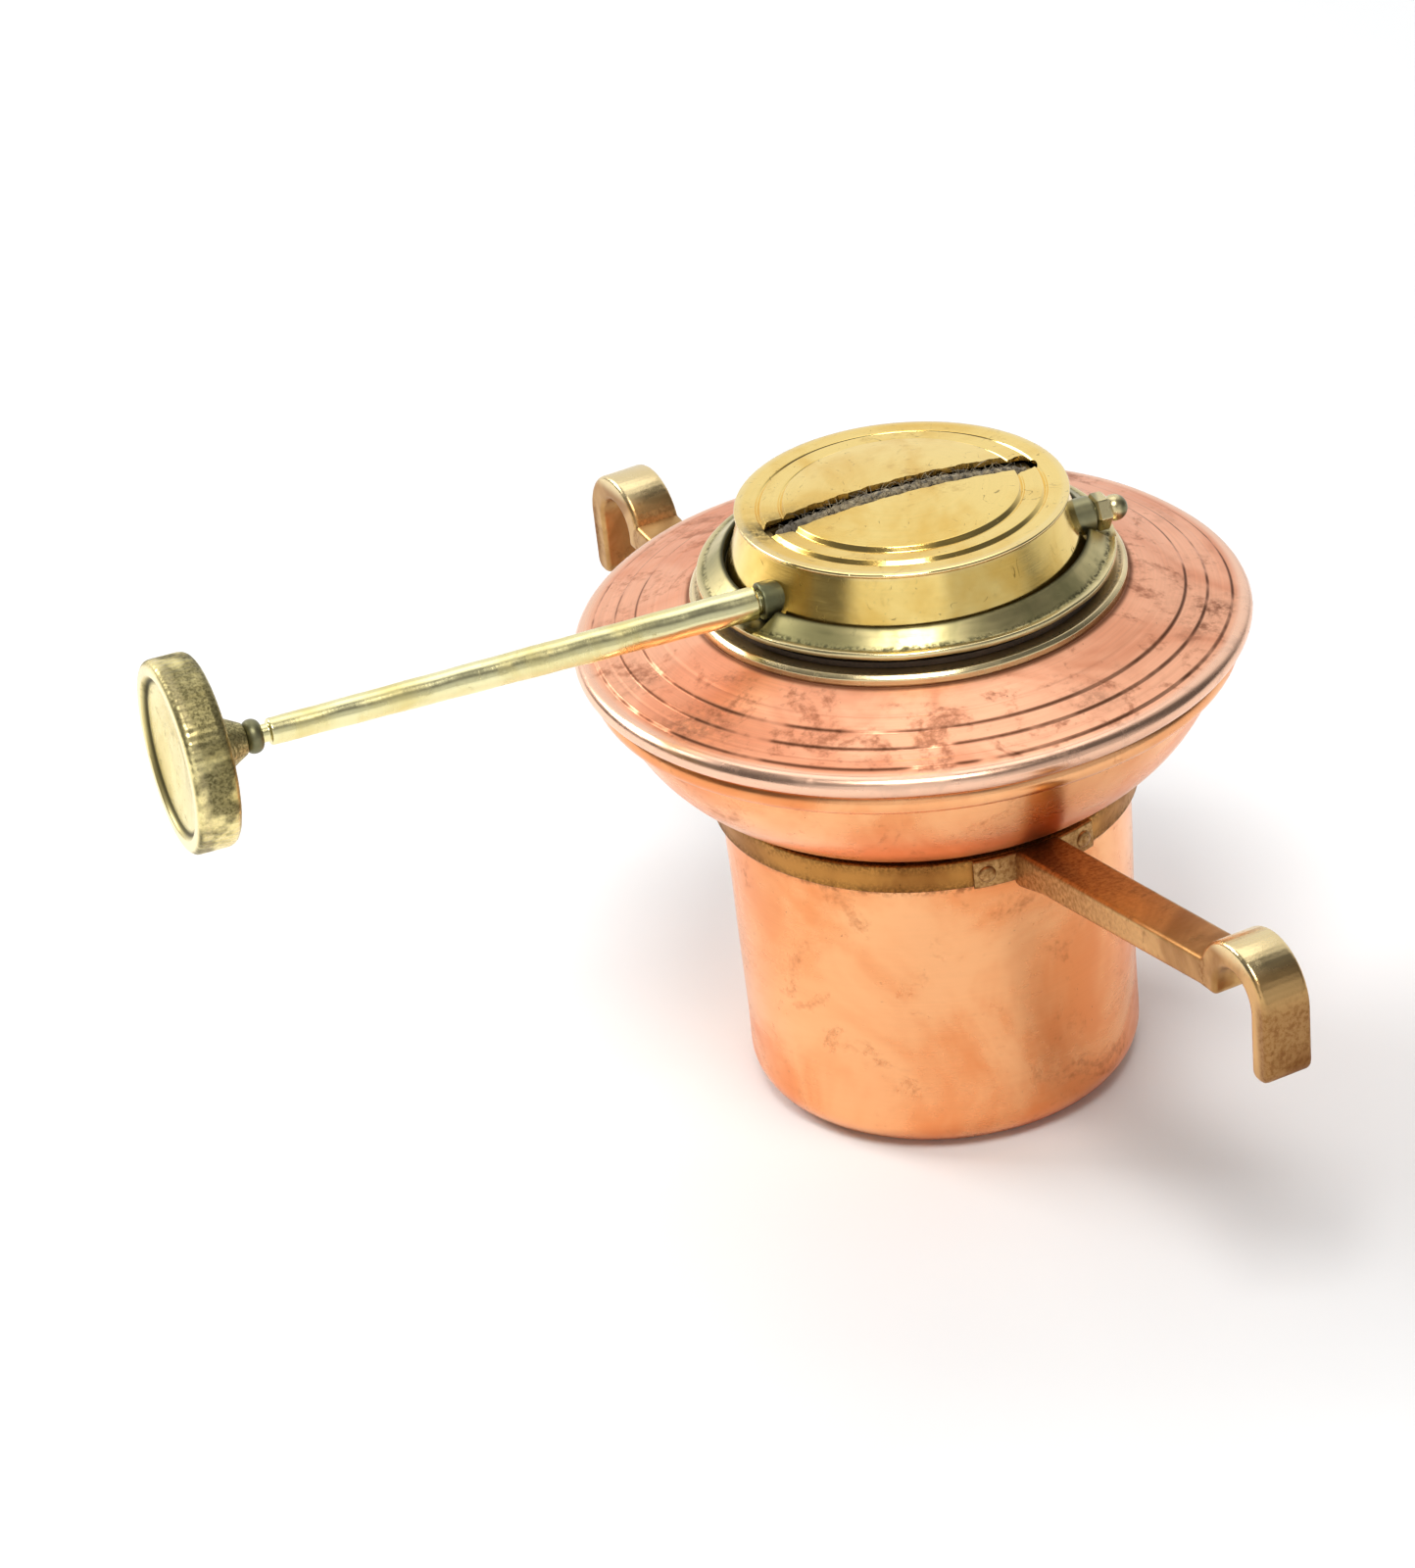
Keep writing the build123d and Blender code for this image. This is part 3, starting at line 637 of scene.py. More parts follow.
def knobMarksAndShade(shader, x, y, z, radius, grain):
    # the rim is patinated in patches, and the crevice inside the lip is darkened with painted shade
    low, high, reach = spindleSpan("knob")
    # painted shade in the crevice
    crevice = radius.near(reach - knobLook["creviceInset"], 0.7) * (1 - z.step(low + 1.0, low + 1.4))
    patches = shader.noise(shader.join(x, y, z), 0.16, 3, 0.6).step(0.42, 0.56)
    rim = radius.step(reach - 0.7, reach - 0.25) * (patches * 0.75 + grain.step(0.42, 0.62) * 0.2)
    back = z.step(high - 4.4, high - 3.6) * (0.35 + grain.step(0.35, 0.6) * 0.5)
    return crevice.most(rim).most(back)


def topWear(z, radius):
    # the rolled rim
    return radius.step(topRadius - 2.0, topRadius - 1.0)


def collarWear(z, radius):
    # the collar's outer edge
    return radius.near(collarRadius - 0.2, 0.7)


def baseWear(z, radius):
    # the flange's edge
    return radius.near(baseRadius - 0.1, 0.8) * z.step(baseSpan[1][2] - 2.4, baseSpan[1][2] - 1.8)


def capWear(z, radius):
    # the drum's upper edge and the dome's rim
    return z.near(drumSpan[1][2] + 0.2, 0.8) * radius.step(domeRadius - 1.2, domeRadius - 0.5)


def armWear(z, radius):
    # the crown of the hook, where it is lifted on and off its rail
    crown = nodeSpan("back_arm")[1][2]
    return z.step(crown - 2.2, crown - 0.6)


def knobWear(z, radius):
    # the lip round the face and the edge beside it
    low, high, reach = spindleSpan("knob")
    lip = radius.near(reach - 1.1, 1.0) * (1 - z.step(low + 0.2, low + 0.8))
    return lip.most(radius.near(reach - 0.3, 0.5) * z.near(low + 1.0, 0.8) * 0.7)


def darkWear(z, radius):
    # the ball at the spindle's end, rubbed bright
    return radius.near(spindleSpan("ball_nut")[1] - 1.4, 2.0).step(0.1, 0.5)


def leatherFinish():
    # oiled leather: a fine pebbled grain over darker and lighter patches
    shader = Shader(bpy.data.materials.new("washerLeather"))
    point, x, y, z = shader.place("head")
    grain = shader.noise(point, 3.0, 4, 0.7)
    patches = shader.noise(point, 0.25, 2, 0.5)
    pebbles = (grain * 0.6 + patches * 0.4).step(0.35, 0.65)
    colour = shader.blend(pebbles, (0.022, 0.013, 0.008), (0.07, 0.04, 0.022))
    roughness = (0.5 + grain * 0.35).clamped()
    normal = shader.bump(grain, 0.5, mm * 0.2)
    return shader.finish({"Base Color": colour, "Roughness": roughness, "Normal": normal})


def cottonFinish():
    # Woven cotton: warp and weft are two crossed waves, each on top where the other dips. The top is charred,
    # most at its two ends.
    shader = Shader(bpy.data.materials.new("wickCotton"))
    point, x, y, z = shader.place("head")
    warp, weft = (x * 5.2).math("SINE", x * 5.2), (z * 5.2).math("SINE", z * 5.2)
    weave = warp * weft * 0.5 + 0.5
    grain = shader.noise(point, 1.4, 4, 0.7)
    colour = shader.blend(weave, (0.30, 0.22, 0.11), (0.56, 0.45, 0.26))
    colour = shader.blend(grain.step(0.45, 0.7) * 0.5, colour, (0.50, 0.40, 0.24))
    top = wickSpan[1][2]
    charEnd = (1 - x.step(-13.5, -5.0)).most(x.step(11.5, 14.0) * 0.9)
    charEnd = charEnd.most(0.45 + grain.step(0.45, 0.6) * 0.5)
    char = z.step(top - 4.5, top - 1.2) * charEnd * (0.6 + grain * 0.6)
    colour = shader.blend(char.clamped(), colour, (0.02, 0.014, 0.008))
    normal = shader.bump(weave * 0.5 + grain * 0.5, 0.8, mm * 0.25)
    inputs = {"Base Color": colour, "Roughness": 0.9, "Normal": normal, "Sheen Weight": 0.2}
    return shader.finish(inputs)


finishes = {
    "font_copper": metalFinish("fontCopper", copperLook, copperMarksAndShade),
    "top_copper": metalFinish("topCopper", topLook, topMarksAndShade, topWear),
    "band_brass": metalFinish("bandBrass", bandLook, bandMarks),
    "arm_brass": metalFinish("armBrass", armLook, armMarksAndReflection, armWear),
    "collar_brass": metalFinish("collarBrass", collarLook, collarMarksAndShade, collarWear),
    "base_brass": metalFinish("baseBrass", baseLook, baseMarksAndShade, baseWear),
    "cap_brass": metalFinish("capBrass", capLook, capMarks, capWear),
    "rod_brass": metalFinish("rodBrass", rodLook),
    "knob_brass": metalFinish("knobBrass", knobLook, knobMarksAndShade, knobWear),
    "dark_brass": metalFinish("darkBrass", darkLook, None, darkWear),
    "tube_brass": metalFinish("tubeBrass", tubeLook),
    "washer_leather": leatherFinish(),
    "wick_cotton": cottonFinish(),
}
for node, slot in nodeSlot.items():
    mesh = frame["nodes"][node].data
    mesh.materials.clear()
    mesh.materials.append(finishes[slot])
print("finishes built")

cupShape = {"sheet": 0.9, "taper": 0.9, "corner": 4.5, "dent": 0.16, "dentTop": 31.0}


def makeCup():
    # A sheet bent round the corner at the foot. Broad dents, a product of slow waves, push its wall inwards.
    top, sheet, foot = cupSpan[1][2], cupShape["sheet"], cupRadius - cupShape["taper"]
    corners = [(0, 0, 0), (0, foot, cupShape["corner"]), (top, cupRadius, 0.2), (top, cupRadius - sheet, 0.2)]
    corners += [(sheet, foot - sheet, cupShape["corner"] - sheet), (sheet, 0, 0)]

    def dents(height, radius, angle):
        wave = np.sin(2 * angle + 0.7 + height * 0.05) * np.sin(height * 0.16 + 1.1 + np.sin(angle))
        wave += 0.5 * np.sin(5 * angle + 1.9) * np.sin(height * 0.29 + 0.4)
        fade = np.clip((cupShape["dentTop"] - height) / 6, 0, 1) * np.clip((height - 3) / 6, 0, 1)
        return height, radius - cupShape["dent"] * fade * (0.75 + wave / 2)

    outline = roundedOutline(corners, closed=False, steps=12)
    makePiece("fontCup", "font_cup", [spun(outline, 288, dents, False)])


shoulderShape = {"sheet": 0.9, "swell": 2.45, "bead": 1.45, "skirtGap": 0.22, "skirtRise": 0.3}


def makeShoulder():
    # The sheet swells out along an arc and ends in a rolled bead, a circle that swallows the arc's end.
    low, high = nodeSpan("font_shoulder")
    sheet, bead = shoulderShape["sheet"], shoulderShape["bead"]
    centre = np.array([high[2] - bead, nodeRadius("font_shoulder") - bead])
    skirtRadius = cupRadius - cupShape["sheet"] - shoulderShape["skirtGap"]
    skirt = (cupSpan[1][2] + shoulderShape["skirtRise"], skirtRadius)
    outside = bulgedRun(skirt, centre, shoulderShape["swell"], 40)
    inside = bulgedRun((skirt[0], skirtRadius - sheet), centre - [0, sheet], shoulderShape["swell"], 40)
    outside = outside[np.linalg.norm(outside - centre, axis=1) > bead + 0.02]
    inside = inside[np.linalg.norm(inside - centre, axis=1) > bead + 0.02]
    start, end = [np.arctan2(*(run[-1] - centre)[::-1]) for run in (outside, inside)]
    angle = np.linspace(start, end - 2 * pi, 30)
    roll = centre + bead * np.stack([np.cos(angle), np.sin(angle)], -1)
    foot = np.array([(low[2], skirtRadius - sheet), (low[2], skirtRadius)])
    outline = np.concatenate([foot, outside, roll, inside[::-1]])

    def waves(height, radius, angle):
        lift = np.clip((height - 41) / 8, 0, 1)
        return height, radius - lift * 0.07 * (1 + np.sin(3 * angle + 0.5) + 0.5 * np.sin(7 * angle))

    makePiece("fontShoulder", "font_shoulder", [spun(outline, 320, waves)], 50)


topShape = {
    "sheet": 0.9, "roll": 1.25, "lipStart": 4.25, "holeInset": 2.55, "waviness": 0.09,
    "step": 0.16, "stepRun": 0.35, "stepInsets": (2.0, 4.7, 7.1), "groove": 0.05, "grooveInsets": (3.4, 9.4),
}


def makeTop():
    # A low cone with spun steps and fine V grooves, inside a rolled edge that wanders up and down a little.
    low, high, sheet, roll = topSpan[0][2], topSpan[1][2], topShape["sheet"], topShape["roll"]
    edge, lipHigh, hole = topRadius - roll, low + 2 * roll, nodeRadius("seal_washer") - topShape["holeInset"]

    def cone(radius):
        return lipHigh + (high - lipHigh) * (edge - radius) / (edge - collarRadius)

    turns = np.linspace(-pi / 2, pi / 2, 13)[:, None]
    lip = np.concatenate([low + roll + roll * np.sin(turns), edge + roll * np.cos(turns)], 1)
    steps = [(lipHigh, edge - 0.05, 0)]
    for inset in topShape["stepInsets"]:
        radius = topRadius - inset
        steps.append((cone(radius) - topShape["step"] / 2, radius, 0.12))
        radius -= topShape["stepRun"]
        steps.append((cone(radius) + topShape["step"] / 2, radius, 0.15))
    steps += [(high, collarRadius, 0.3), (high, hole, 0)]
    slope = roundedOutline(steps, closed=False, spacing=0.16, guard=0.05)
    for inset in topShape["grooveInsets"]:
        slope[:, 0] -= topShape["groove"] * np.clip(1 - abs(slope[:, 1] - topRadius + inset) / 0.22, 0, 1)
    inner = [(high - sheet, hole, 0), (high - sheet, collarRadius, 0.3), (lipHigh - sheet, edge, 0.3)]
    inner += [(low + sheet, edge, 0.3), (low + sheet, topRadius - topShape["lipStart"], 0)]
    start = [(low, topRadius - topShape["lipStart"])]
    outline = np.concatenate([start, lip, slope, roundedOutline(inner, closed=False)])

    def waves(height, radius, angle):
        share = np.clip((radius - topRadius + 5) / 4, 0, 1)
        wander = np.sin(3 * angle + 0.9) + 0.6 * np.sin(8 * angle + 2.0) + 0.4 * np.sin(13 * angle)
        height = height - topShape["waviness"] * share * (wander + 0.6) / 2
        return height, radius - 0.05 * share * (1 + wander / 2)

    makePiece("fontTop", "font_top", [spun(outline, 320, waves)])


bandShape = {"thickness": 0.85, "rounding": 0.25}


def makeBand():
    # a flat ring with soft edges that wander a little, as a soldered strip does
    low, high = bandSpan[0][2], bandSpan[1][2]
    inner, soft = bandRadius - bandShape["thickness"], bandShape["rounding"]
    corners = [(low, inner, 0), (low, bandRadius, soft), (high, bandRadius, soft), (high, inner, 0)]

    def waves(height, radius, angle):
        wander = np.sin(4 * angle) + 0.7 * np.sin(9 * angle + 1.3)
        return height + np.where(height > (low + high) / 2, -0.07, 0.07) * (1.7 + wander) / 2, radius

    makePiece("neckBand", "neck_band", [spun(roundedOutline(corners, spacing=0.5), 256, waves)])


armShape = {
    "bore": 3.3, "wall": 3.0, "width": 5.8, "leg": 8.0, "thickness": 3.6, "drop": 1.4, "rounding": 0.6,
    "padAngle": 18.0, "pad": 0.6, "gusset": 1.2, "legLean": 0.3,
}


def makeArm(name, node, side):
    # The arm's outline, in (distance from the axis, height), is a bar that ends in a hook, open below. It
    # becomes a plate with round edges, and a bent pad with soft edges is joined to its root.
    low, high = nodeSpan(node)
    bore, outer = armShape["bore"], armShape["bore"] + armShape["wall"]
    middle = max(abs(low[1]), abs(high[1])) - outer
    level = high[2] - outer
    barEnd, root, lean = level - armShape["drop"], bandRadius - 0.5, armShape["legLean"]
    barTop = barEnd + armShape["thickness"]
    crown = np.linspace(pi - np.arcsin((barTop - level) / outer), 0, 26)[:, None]
    inside = np.linspace(0, pi, 22)[:, None]
    over = np.concatenate([middle + outer * np.cos(crown), level + outer * np.sin(crown), 0 * crown], 1)
    under = np.concatenate([middle + bore * np.cos(inside), level + bore * np.sin(inside), 0 * inside], 1)
    foot = level - armShape["leg"]
    corners = [(root, bandSpan[1][2], 1.0), *over.tolist(), (middle + outer - lean, foot, 1.45)]
    corners += [(middle + bore - lean, foot, 1.1), *under.tolist(), (middle - bore, barEnd, 0.95)]
    corners += [(middle - outer, barEnd, 1.5)]
    corners += [(root + 6, bandSpan[0][2] + 0.45, 4.0), (root, bandSpan[0][2] - armShape["gusset"], 1.0)]
    outline = roundedOutline(corners, spacing=1.2, guard=0.15)
    points, *closes = slab(outline, armShape["width"], armShape["rounding"])
    bar = np.stack([points[..., 2] * side, points[..., 0] * side, points[..., 1]], -1)
    piece = makePiece(name, node, [(bar, *closes)], 35)
    sweep = np.linspace(-1, 1, 41)[:, None] * radians(armShape["padAngle"]) + side * pi / 2
    inner, outside = bandRadius + 0.03, bandRadius + 0.03 + armShape["pad"]
    padLow, padHigh = bandSpan[0][2] + 0.05, bandSpan[1][2] - 0.05
    corners = [(padLow, inner, 0), (padLow, outside, 0.25), (padHigh, outside, 0.25), (padHigh, inner, 0)]
    pad = roundedOutline(corners)
    ring = [pad[None, :, 1] * np.cos(sweep), pad[None, :, 1] * np.sin(sweep), pad[None, :, 0] + 0 * sweep]
    combine(piece, "UNION", (np.stack(ring, -1), False, True, True), 35)


rivetShape = {"angle": 14.5, "shank": 0.5, "head": 1.0, "dome": 0.45}


def makeRivets(name, node, side):
    # a shank with a round head, whose outline is a quarter of an ellipse, at each side of an arm
    inner = bandRadius - bandShape["thickness"]
    face = bandRadius + 0.03 + armShape["pad"]
    turn = np.linspace(0, pi / 2, 8)[:, None]
    dome = np.concatenate([face + rivetShape["dome"] * np.sin(turn), rivetShape["head"] * np.cos(turn)], 1)
    shank = np.array([(inner + 0.05, 0), (inner + 0.05, rivetShape["shank"]), (face, rivetShape["shank"])])
    parts = []
    for step in (-rivetShape["angle"], rivetShape["angle"]):
        angle = radians(90 * side + step)
        axis = np.array([cos(angle), sin(angle), 0])
        origin = np.array([0, 0, (bandSpan[0][2] + bandSpan[1][2]) / 2])
        parts.append(layAlong(spun(np.concatenate([shank, dome]), 24, closed=False), origin, axis))
    makePiece(name, node, parts)


makeCup()
makeShoulder()
makeTop()
makeBand()
for name, side in (("front", -1), ("back", 1)):
    makeArm(name + "Arm", name + "_arm", side)
    makeRivets(name + "Rivets", name + "_rivets", side)
print("font built")

collarShape = {"lap": 4.7, "wall": 1.4, "thickness": 1.2, "edge": 0.4}


def makeCollar():
    # a turned ring: a neck that goes down into the top, and a flat lip with a soft edge above it
    low, high = collarSpan[0][2], collarSpan[1][2]
    neck, edge = collarRadius - collarShape["lap"], collarShape["edge"]
    face, bore = high - collarShape["thickness"], neck - collarShape["wall"]
    corners = [(low, bore, 0.2), (low, neck, 0.2), (face, neck, 0), (face, collarRadius, 0.1)]
    corners += [(high - edge, collarRadius, 0.25), (high, collarRadius - edge, 0.3), (high, bore, 0.2)]

    def waves(height, radius, angle):
        wander = np.sin(5 * angle + 0.4) + 0.6 * np.sin(11 * angle)
        return height, radius - np.clip((radius - neck - 2) / 2, 0, 1) * 0.05 * (1.6 + wander)

    makePiece("fillerCollar", "filler_collar", [spun(roundedOutline(corners, spacing=0.6), 288, waves)])


baseShape = {
    "flangeStep": 0.7, "flangeEdge": 0.8, "skirtRun": 0.8, "skirtRise": 3.2, "plugWall": 1.4, "plugGap": 0.1,
    "floorThickness": 1.0, "floorDrop": 2.7, "bore": 0.03, "notchGap": 0.3, "waviness": 0.08,
}


def makeBase():
    # One turned piece: plug, floor, flange and sloping skirt, with a slot for the tube and two notches.
    plug, high = baseSpan[0][2], baseSpan[1][2]
    low = high - baseShape["skirtRise"]
    plugOuter = collarRadius - collarShape["lap"] - collarShape["wall"] - baseShape["plugGap"]
    plugInner = plugOuter - baseShape["plugWall"]
    edgeLow = low + baseShape["flangeStep"]
    edgeHigh = edgeLow + baseShape["flangeEdge"]
    edgeInner = baseRadius - baseShape["flangeEdge"]
    floorTop = edgeLow - baseShape["floorDrop"]
    floorLow = floorTop - baseShape["floorThickness"]
    deck = drumSpan[0][2] - 0.02
    skirt = drumRadius + baseShape["bore"]
    corners = [
        (floorLow, 0, 0), (floorLow, plugInner, 0.3), (plug, plugInner, 0.15), (plug, plugOuter, 0.3),
        (low, plugOuter, 0.1), (low, edgeInner - baseShape["flangeStep"], 0.3), (edgeLow, edgeInner, 0.3),
        (edgeLow, baseRadius, 0.2), (edgeHigh, baseRadius, 0.3),
        (edgeHigh, baseRadius - baseShape["skirtRun"], 0.4), (high, skirt + 0.35, 0.4), (high, skirt, 0.1),
        (deck, skirt, 0), (deck, plugInner, 0.1), (floorTop, plugInner, 0.3), (floorTop, 0, 0),
    ]

    def waves(height, radius, angle):
        share = np.clip((radius - baseRadius + 3) / 2, 0, 1)
        wander = np.sin(3 * angle + 1.9) + 0.7 * np.sin(10 * angle) + 0.4 * np.sin(17 * angle + 1)
        return height + baseShape["waviness"] * share * wander / 2, radius - 0.06 * share * (1.5 + wander / 2)

    outline = roundedOutline(corners, closed=False, spacing=0.7)
    piece = makePiece("burnerBase", "burner_base", [onHead(spun(outline, 288, waves, False))])
    width, depth = spindleHalf("wick_tube", 0) + 0.02, spindleHalf("wick_tube", 1) + 0.02
    slot = box(-width, width, -depth, depth)
    combine(piece, "DIFFERENCE", onHead(prism(slot, floorTop - 2, floorTop + 1)))
    boss = spindleSpan("nut_bush")[2] + baseShape["notchGap"]
    across = -np.linalg.norm(spindlePoint[:2])
    for side in (-1, 1):
        ends = sorted((side * (drumRadius - 2.2), side * (baseRadius + 2)))
        notch = box(*ends, across - boss, across + boss)
        combine(piece, "DIFFERENCE", onHead(prism(notch, spindlePoint[2] - boss, high + 3)))


drumShape = {"sheet": 0.8, "draft": 2.1}
domeShape = {
    "sheet": 0.7, "rise": 1.3, "step": 0.35, "stepInsets": (2.75, 5.25), "skirt": 2.0, "skirtGap": 0.92,
    "slotGap": 0.45, "slotRoom": 0.55, "ragged": 0.22,
}


def makeDrum():
    # a sheet cone with soft edges, slightly out of true, and a hole at each side for the bushes
    low, high, sheet = drumSpan[0][2], drumSpan[1][2], drumShape["sheet"]
    top = drumRadius - drumShape["draft"]
    corners = [(low, drumRadius, 0.15), (high, top, 0.2), (high, top - sheet, 0.2)]
    corners.append((low, drumRadius - sheet, 0.15))

    def waves(height, radius, angle):
        swell = 0.5 + 0.5 * np.sin((height - low) / (high - low) * pi)
        return height, radius - 0.05 * swell * (1.2 + np.sin(3 * angle) + 0.5 * np.sin(7 * angle + 1))

    piece = makePiece("drumWall", "drum", [onHead(spun(roundedOutline(corners, spacing=0.4), 288, waves))])
    bush = spindleSpan("nut_bush")[2] + 0.02
    end = drumRadius + 2
    bar = np.array([(-end, 0), (-end, bush), (end, bush), (end, 0)])
    combine(piece, "DIFFERENCE", onSpindle(spun(bar, 48, closed=False)))


def makeDome():
    # A turned plate: a rounded edge, two spun rings and a shallow crown, with a skirt below. The slot's two
    # long sides wander.
    plateLow, high = drumSpan[1][2] + 0.02, domeSpan[1][2]
    sheet, step = domeShape["sheet"], domeShape["step"]
    plate = high - domeShape["rise"]
    skirt = drumRadius - drumShape["draft"] - domeShape["skirtGap"]
    outer, inner = [domeRadius - inset for inset in domeShape["stepInsets"]]
    foot = inner - step
    crownLow = plate + 1.5 * step
    share = np.linspace(1, 0, 16)[1:, None]
    crown = np.concatenate([crownLow + (high - crownLow) * (1 - share**2), foot * share, 0 * share], 1)
    rings = [(plateLow, skirt, 0), (plateLow, domeRadius - 0.1, 0.1), (plate - 0.1, domeRadius, 0.4)]
    rings += [(plate, domeRadius - 0.5, 0.3), (plate - 0.08, outer + 0.35, 0.2)]
    rings += [(plate - step, outer + 0.12, 0.1), (plate + step / 2, outer - step, 0.2)]
    rings += [(plate + step / 2 - 0.05, inner + 0.3, 0.2)]
    rings += [(plate - step / 4, inner + 0.1, 0.1), (crownLow, foot, 0.2)]
    under = np.concatenate([crown[::-1, :1] - sheet, crown[::-1, 1:]], 1)
    skirtLow = plateLow - domeShape["skirt"]
    below = [(crownLow - sheet, foot, 0.1), (plateLow, skirt - sheet, 0.1), (skirtLow, skirt - sheet, 0.2)]
    below += [(skirtLow, skirt, 0.2), (plateLow - 0.2, skirt, 0)]
    corners = rings + crown.tolist() + under.tolist() + below
    outline = roundedOutline(corners, spacing=0.5, guard=0.08, steps=4)
    piece = makePiece("domeCap", "dome", [onHead(spun(outline, 288))])
    halfWide = spindleHalf("wick_tube", 0) + domeShape["slotRoom"]
    halfDeep = spindleHalf("wick", 1) + domeShape["slotGap"]
    run = np.linspace(-halfWide + halfDeep, halfWide - halfDeep, 90)
    jag = np.sin(run * 1.7) * 0.5 + np.sin(run * 3.9 + 1) * 0.3 + np.sin(run * 8.3) * 0.2
    front = np.stack([run, -halfDeep + domeShape["ragged"] * (jag + 0.2) * 0.6], -1)
    rear = np.stack([run, halfDeep - domeShape["ragged"] * (np.roll(jag, 17) + 0.6)], -1)[::-1]
    turn = np.linspace(-pi / 2, pi / 2, 11)[1:-1]
    right = np.stack([halfWide - halfDeep + halfDeep * np.cos(turn), halfDeep * np.sin(turn)], -1)
    left = -right
    slot = np.concatenate([front, right, rear, left])
    combine(piece, "DIFFERENCE", onHead(prism(slot, plate - 4, high + 2)))


def makeTurned(name, node, outline, count=64, shape=None, closed=True, sharp=40):
    # a piece turned about the spindle, from an outline of (place along it, radius)
    return makePiece(name, node, [onSpindle(spun(outline, count, shape, closed))], sharp)


def makeBushes():
    # two short turned tubes that the spindle runs in
    for name, node in (("rodBush", "rod_bush"), ("nutBush", "nut_bush")):
        start, end, reach = spindleSpan(node)
        bore = spindleSpan("spindle")[2] + 0.05
        corners = [(start, bore, 0.1), (start, reach, 0.25), (end, reach, 0.25), (end, bore, 0.1)]
        makeTurned(name, node, roundedOutline(corners, spacing=0.5))


rodShape = {"outer": 1.5, "inner": 1.9, "spigot": 1.0, "socketWall": 0.63, "socket": 4.0}


def makeRod():
    # The rod's taper ends in a rounded shoulder at each end, with a socket for the spindle and a thin spigot.
    tip, start, reach = spindleSpan("control_rod")
    end = spindleSpan("rod_ferrule")[1] + 0.9
    bore = rodShape["inner"] - rodShape["socketWall"]
    spigot = rodShape["spigot"]
    corners = [(tip, 0, 0), (tip, spigot, 0.2), (end, spigot, 0.1), (end, rodShape["outer"], 0.35)]
    corners += [(start, reach, 0.35), (start, bore, 0.15), (start - rodShape["socket"], bore, 0.1)]
    corners += [(start - rodShape["socket"], 0, 0)]

    def waves(height, radius, angle):
        return height, radius * (1 - 0.012 * (1 + np.sin(height * 0.9 + 2 * angle)) * (radius > bore))

    makeTurned("controlRod", "control_rod", roundedOutline(corners, closed=False), 64, waves, False)


def makeFerrule():
    # a short round bead with a bore
    start, end, reach = spindleSpan("rod_ferrule")
    angle = np.linspace(0.12, 0.88, 15)[:, None] * pi
    middle, half = (start + end) / 2, (end - start) / 2 / cos(0.12 * pi)
    ball = np.concatenate([middle - half * np.cos(angle), 1.1 + (reach - 1.1) * np.sin(angle)], 1)
    bore = np.array([(end, rodShape["spigot"] + 0.02), (start, rodShape["spigot"] + 0.02)])
    makeTurned("rodFerrule", "rod_ferrule", np.concatenate([ball, bore]), 48)


knobShape = {
    "lip": 2.0, "crevice": 0.6, "dish": 1.1, "rounding": 1.1, "width": 5.0, "mills": 72, "millDepth": 0.05,
    "hubRadius": 3.4, "hubTip": 1.7,
}


def makeKnob():
    # A thick wheel with a lip, a crevice and a dished face. Fine cuts across its rim come from a fast wave.
    start, end, reach = spindleSpan("knob")
    back = start + knobShape["width"]
    lip = reach - knobShape["lip"]
    rounding = knobShape["rounding"]
    corners = [
        (start + knobShape["dish"], 0, 0), (start + knobShape["dish"] - 0.05, lip * 0.35, 1.5),
        (start + knobShape["crevice"], lip - 0.3, 0.2), (start + 0.35, lip, 0.15), (start, lip + 0.35, 0.3),
        (start, reach, rounding), (back, reach, rounding), (back, knobShape["hubRadius"] + 0.8, 0.6),
        (back + 0.5, knobShape["hubRadius"], 0.5), (end, knobShape["hubTip"], 0.3), (end, 0, 0),
    ]

    def mills(height, radius, angle):
        share = np.clip((radius - reach + 0.35) / 0.3, 0, 1)
        wave = 0.5 + 0.5 * np.cos(knobShape["mills"] * angle)
        return height, radius - share * knobShape["millDepth"] * wave

    outline = roundedOutline(corners, closed=False, spacing=0.45, guard=0.08)
    makeTurned("knobWheel", "knob", outline, 576, mills, False, 50)


nutShape = {"ball": 1.5, "chamfer": 0.3, "chamferScale": 0.86, "neckScale": 0.5, "rounding": 0.25}


def makeNut():
    # a six-sided nut, chamfered at both ends, with a ball on its outer end
    start, end, reach = spindleSpan("ball_nut")
    ballRadius, chamfer, scaled = nutShape["ball"], nutShape["chamfer"], nutShape["chamferScale"]
    nutEnd = end - ballRadius * 1.6
    turn = np.arange(6) * pi / 3
    corners = [(reach * cos(angle), reach * sin(angle), nutShape["rounding"]) for angle in turn]
    hexagon = roundedOutline(corners, spacing=0.4)
    levels = [(start, scaled), (start + chamfer, 1.0), (nutEnd - chamfer, 1.0), (nutEnd, scaled)]
    levels.append((nutEnd, nutShape["neckScale"]))
    rows = [np.insert(hexagon * scale, 2, place, 1) for place, scale in levels]
    piece = makePiece("ballNut", "ball_nut", [onSpindle((np.stack(rows), False, True, True))], 30)
    angle = np.linspace(0, pi, 25)[:, None]
    ball = np.concatenate([end - ballRadius - ballRadius * np.cos(angle), ballRadius * np.sin(angle)], 1)
    combine(piece, "UNION", onSpindle(spun(ball, 40, closed=False)), 30)


wickShape = {
    "crown": 1.6, "soft": 1.1, "frayDepth": 0.35,
    "strands": 260, "strandRadius": 0.07, "strandLength": (0.5, 1.5),
}


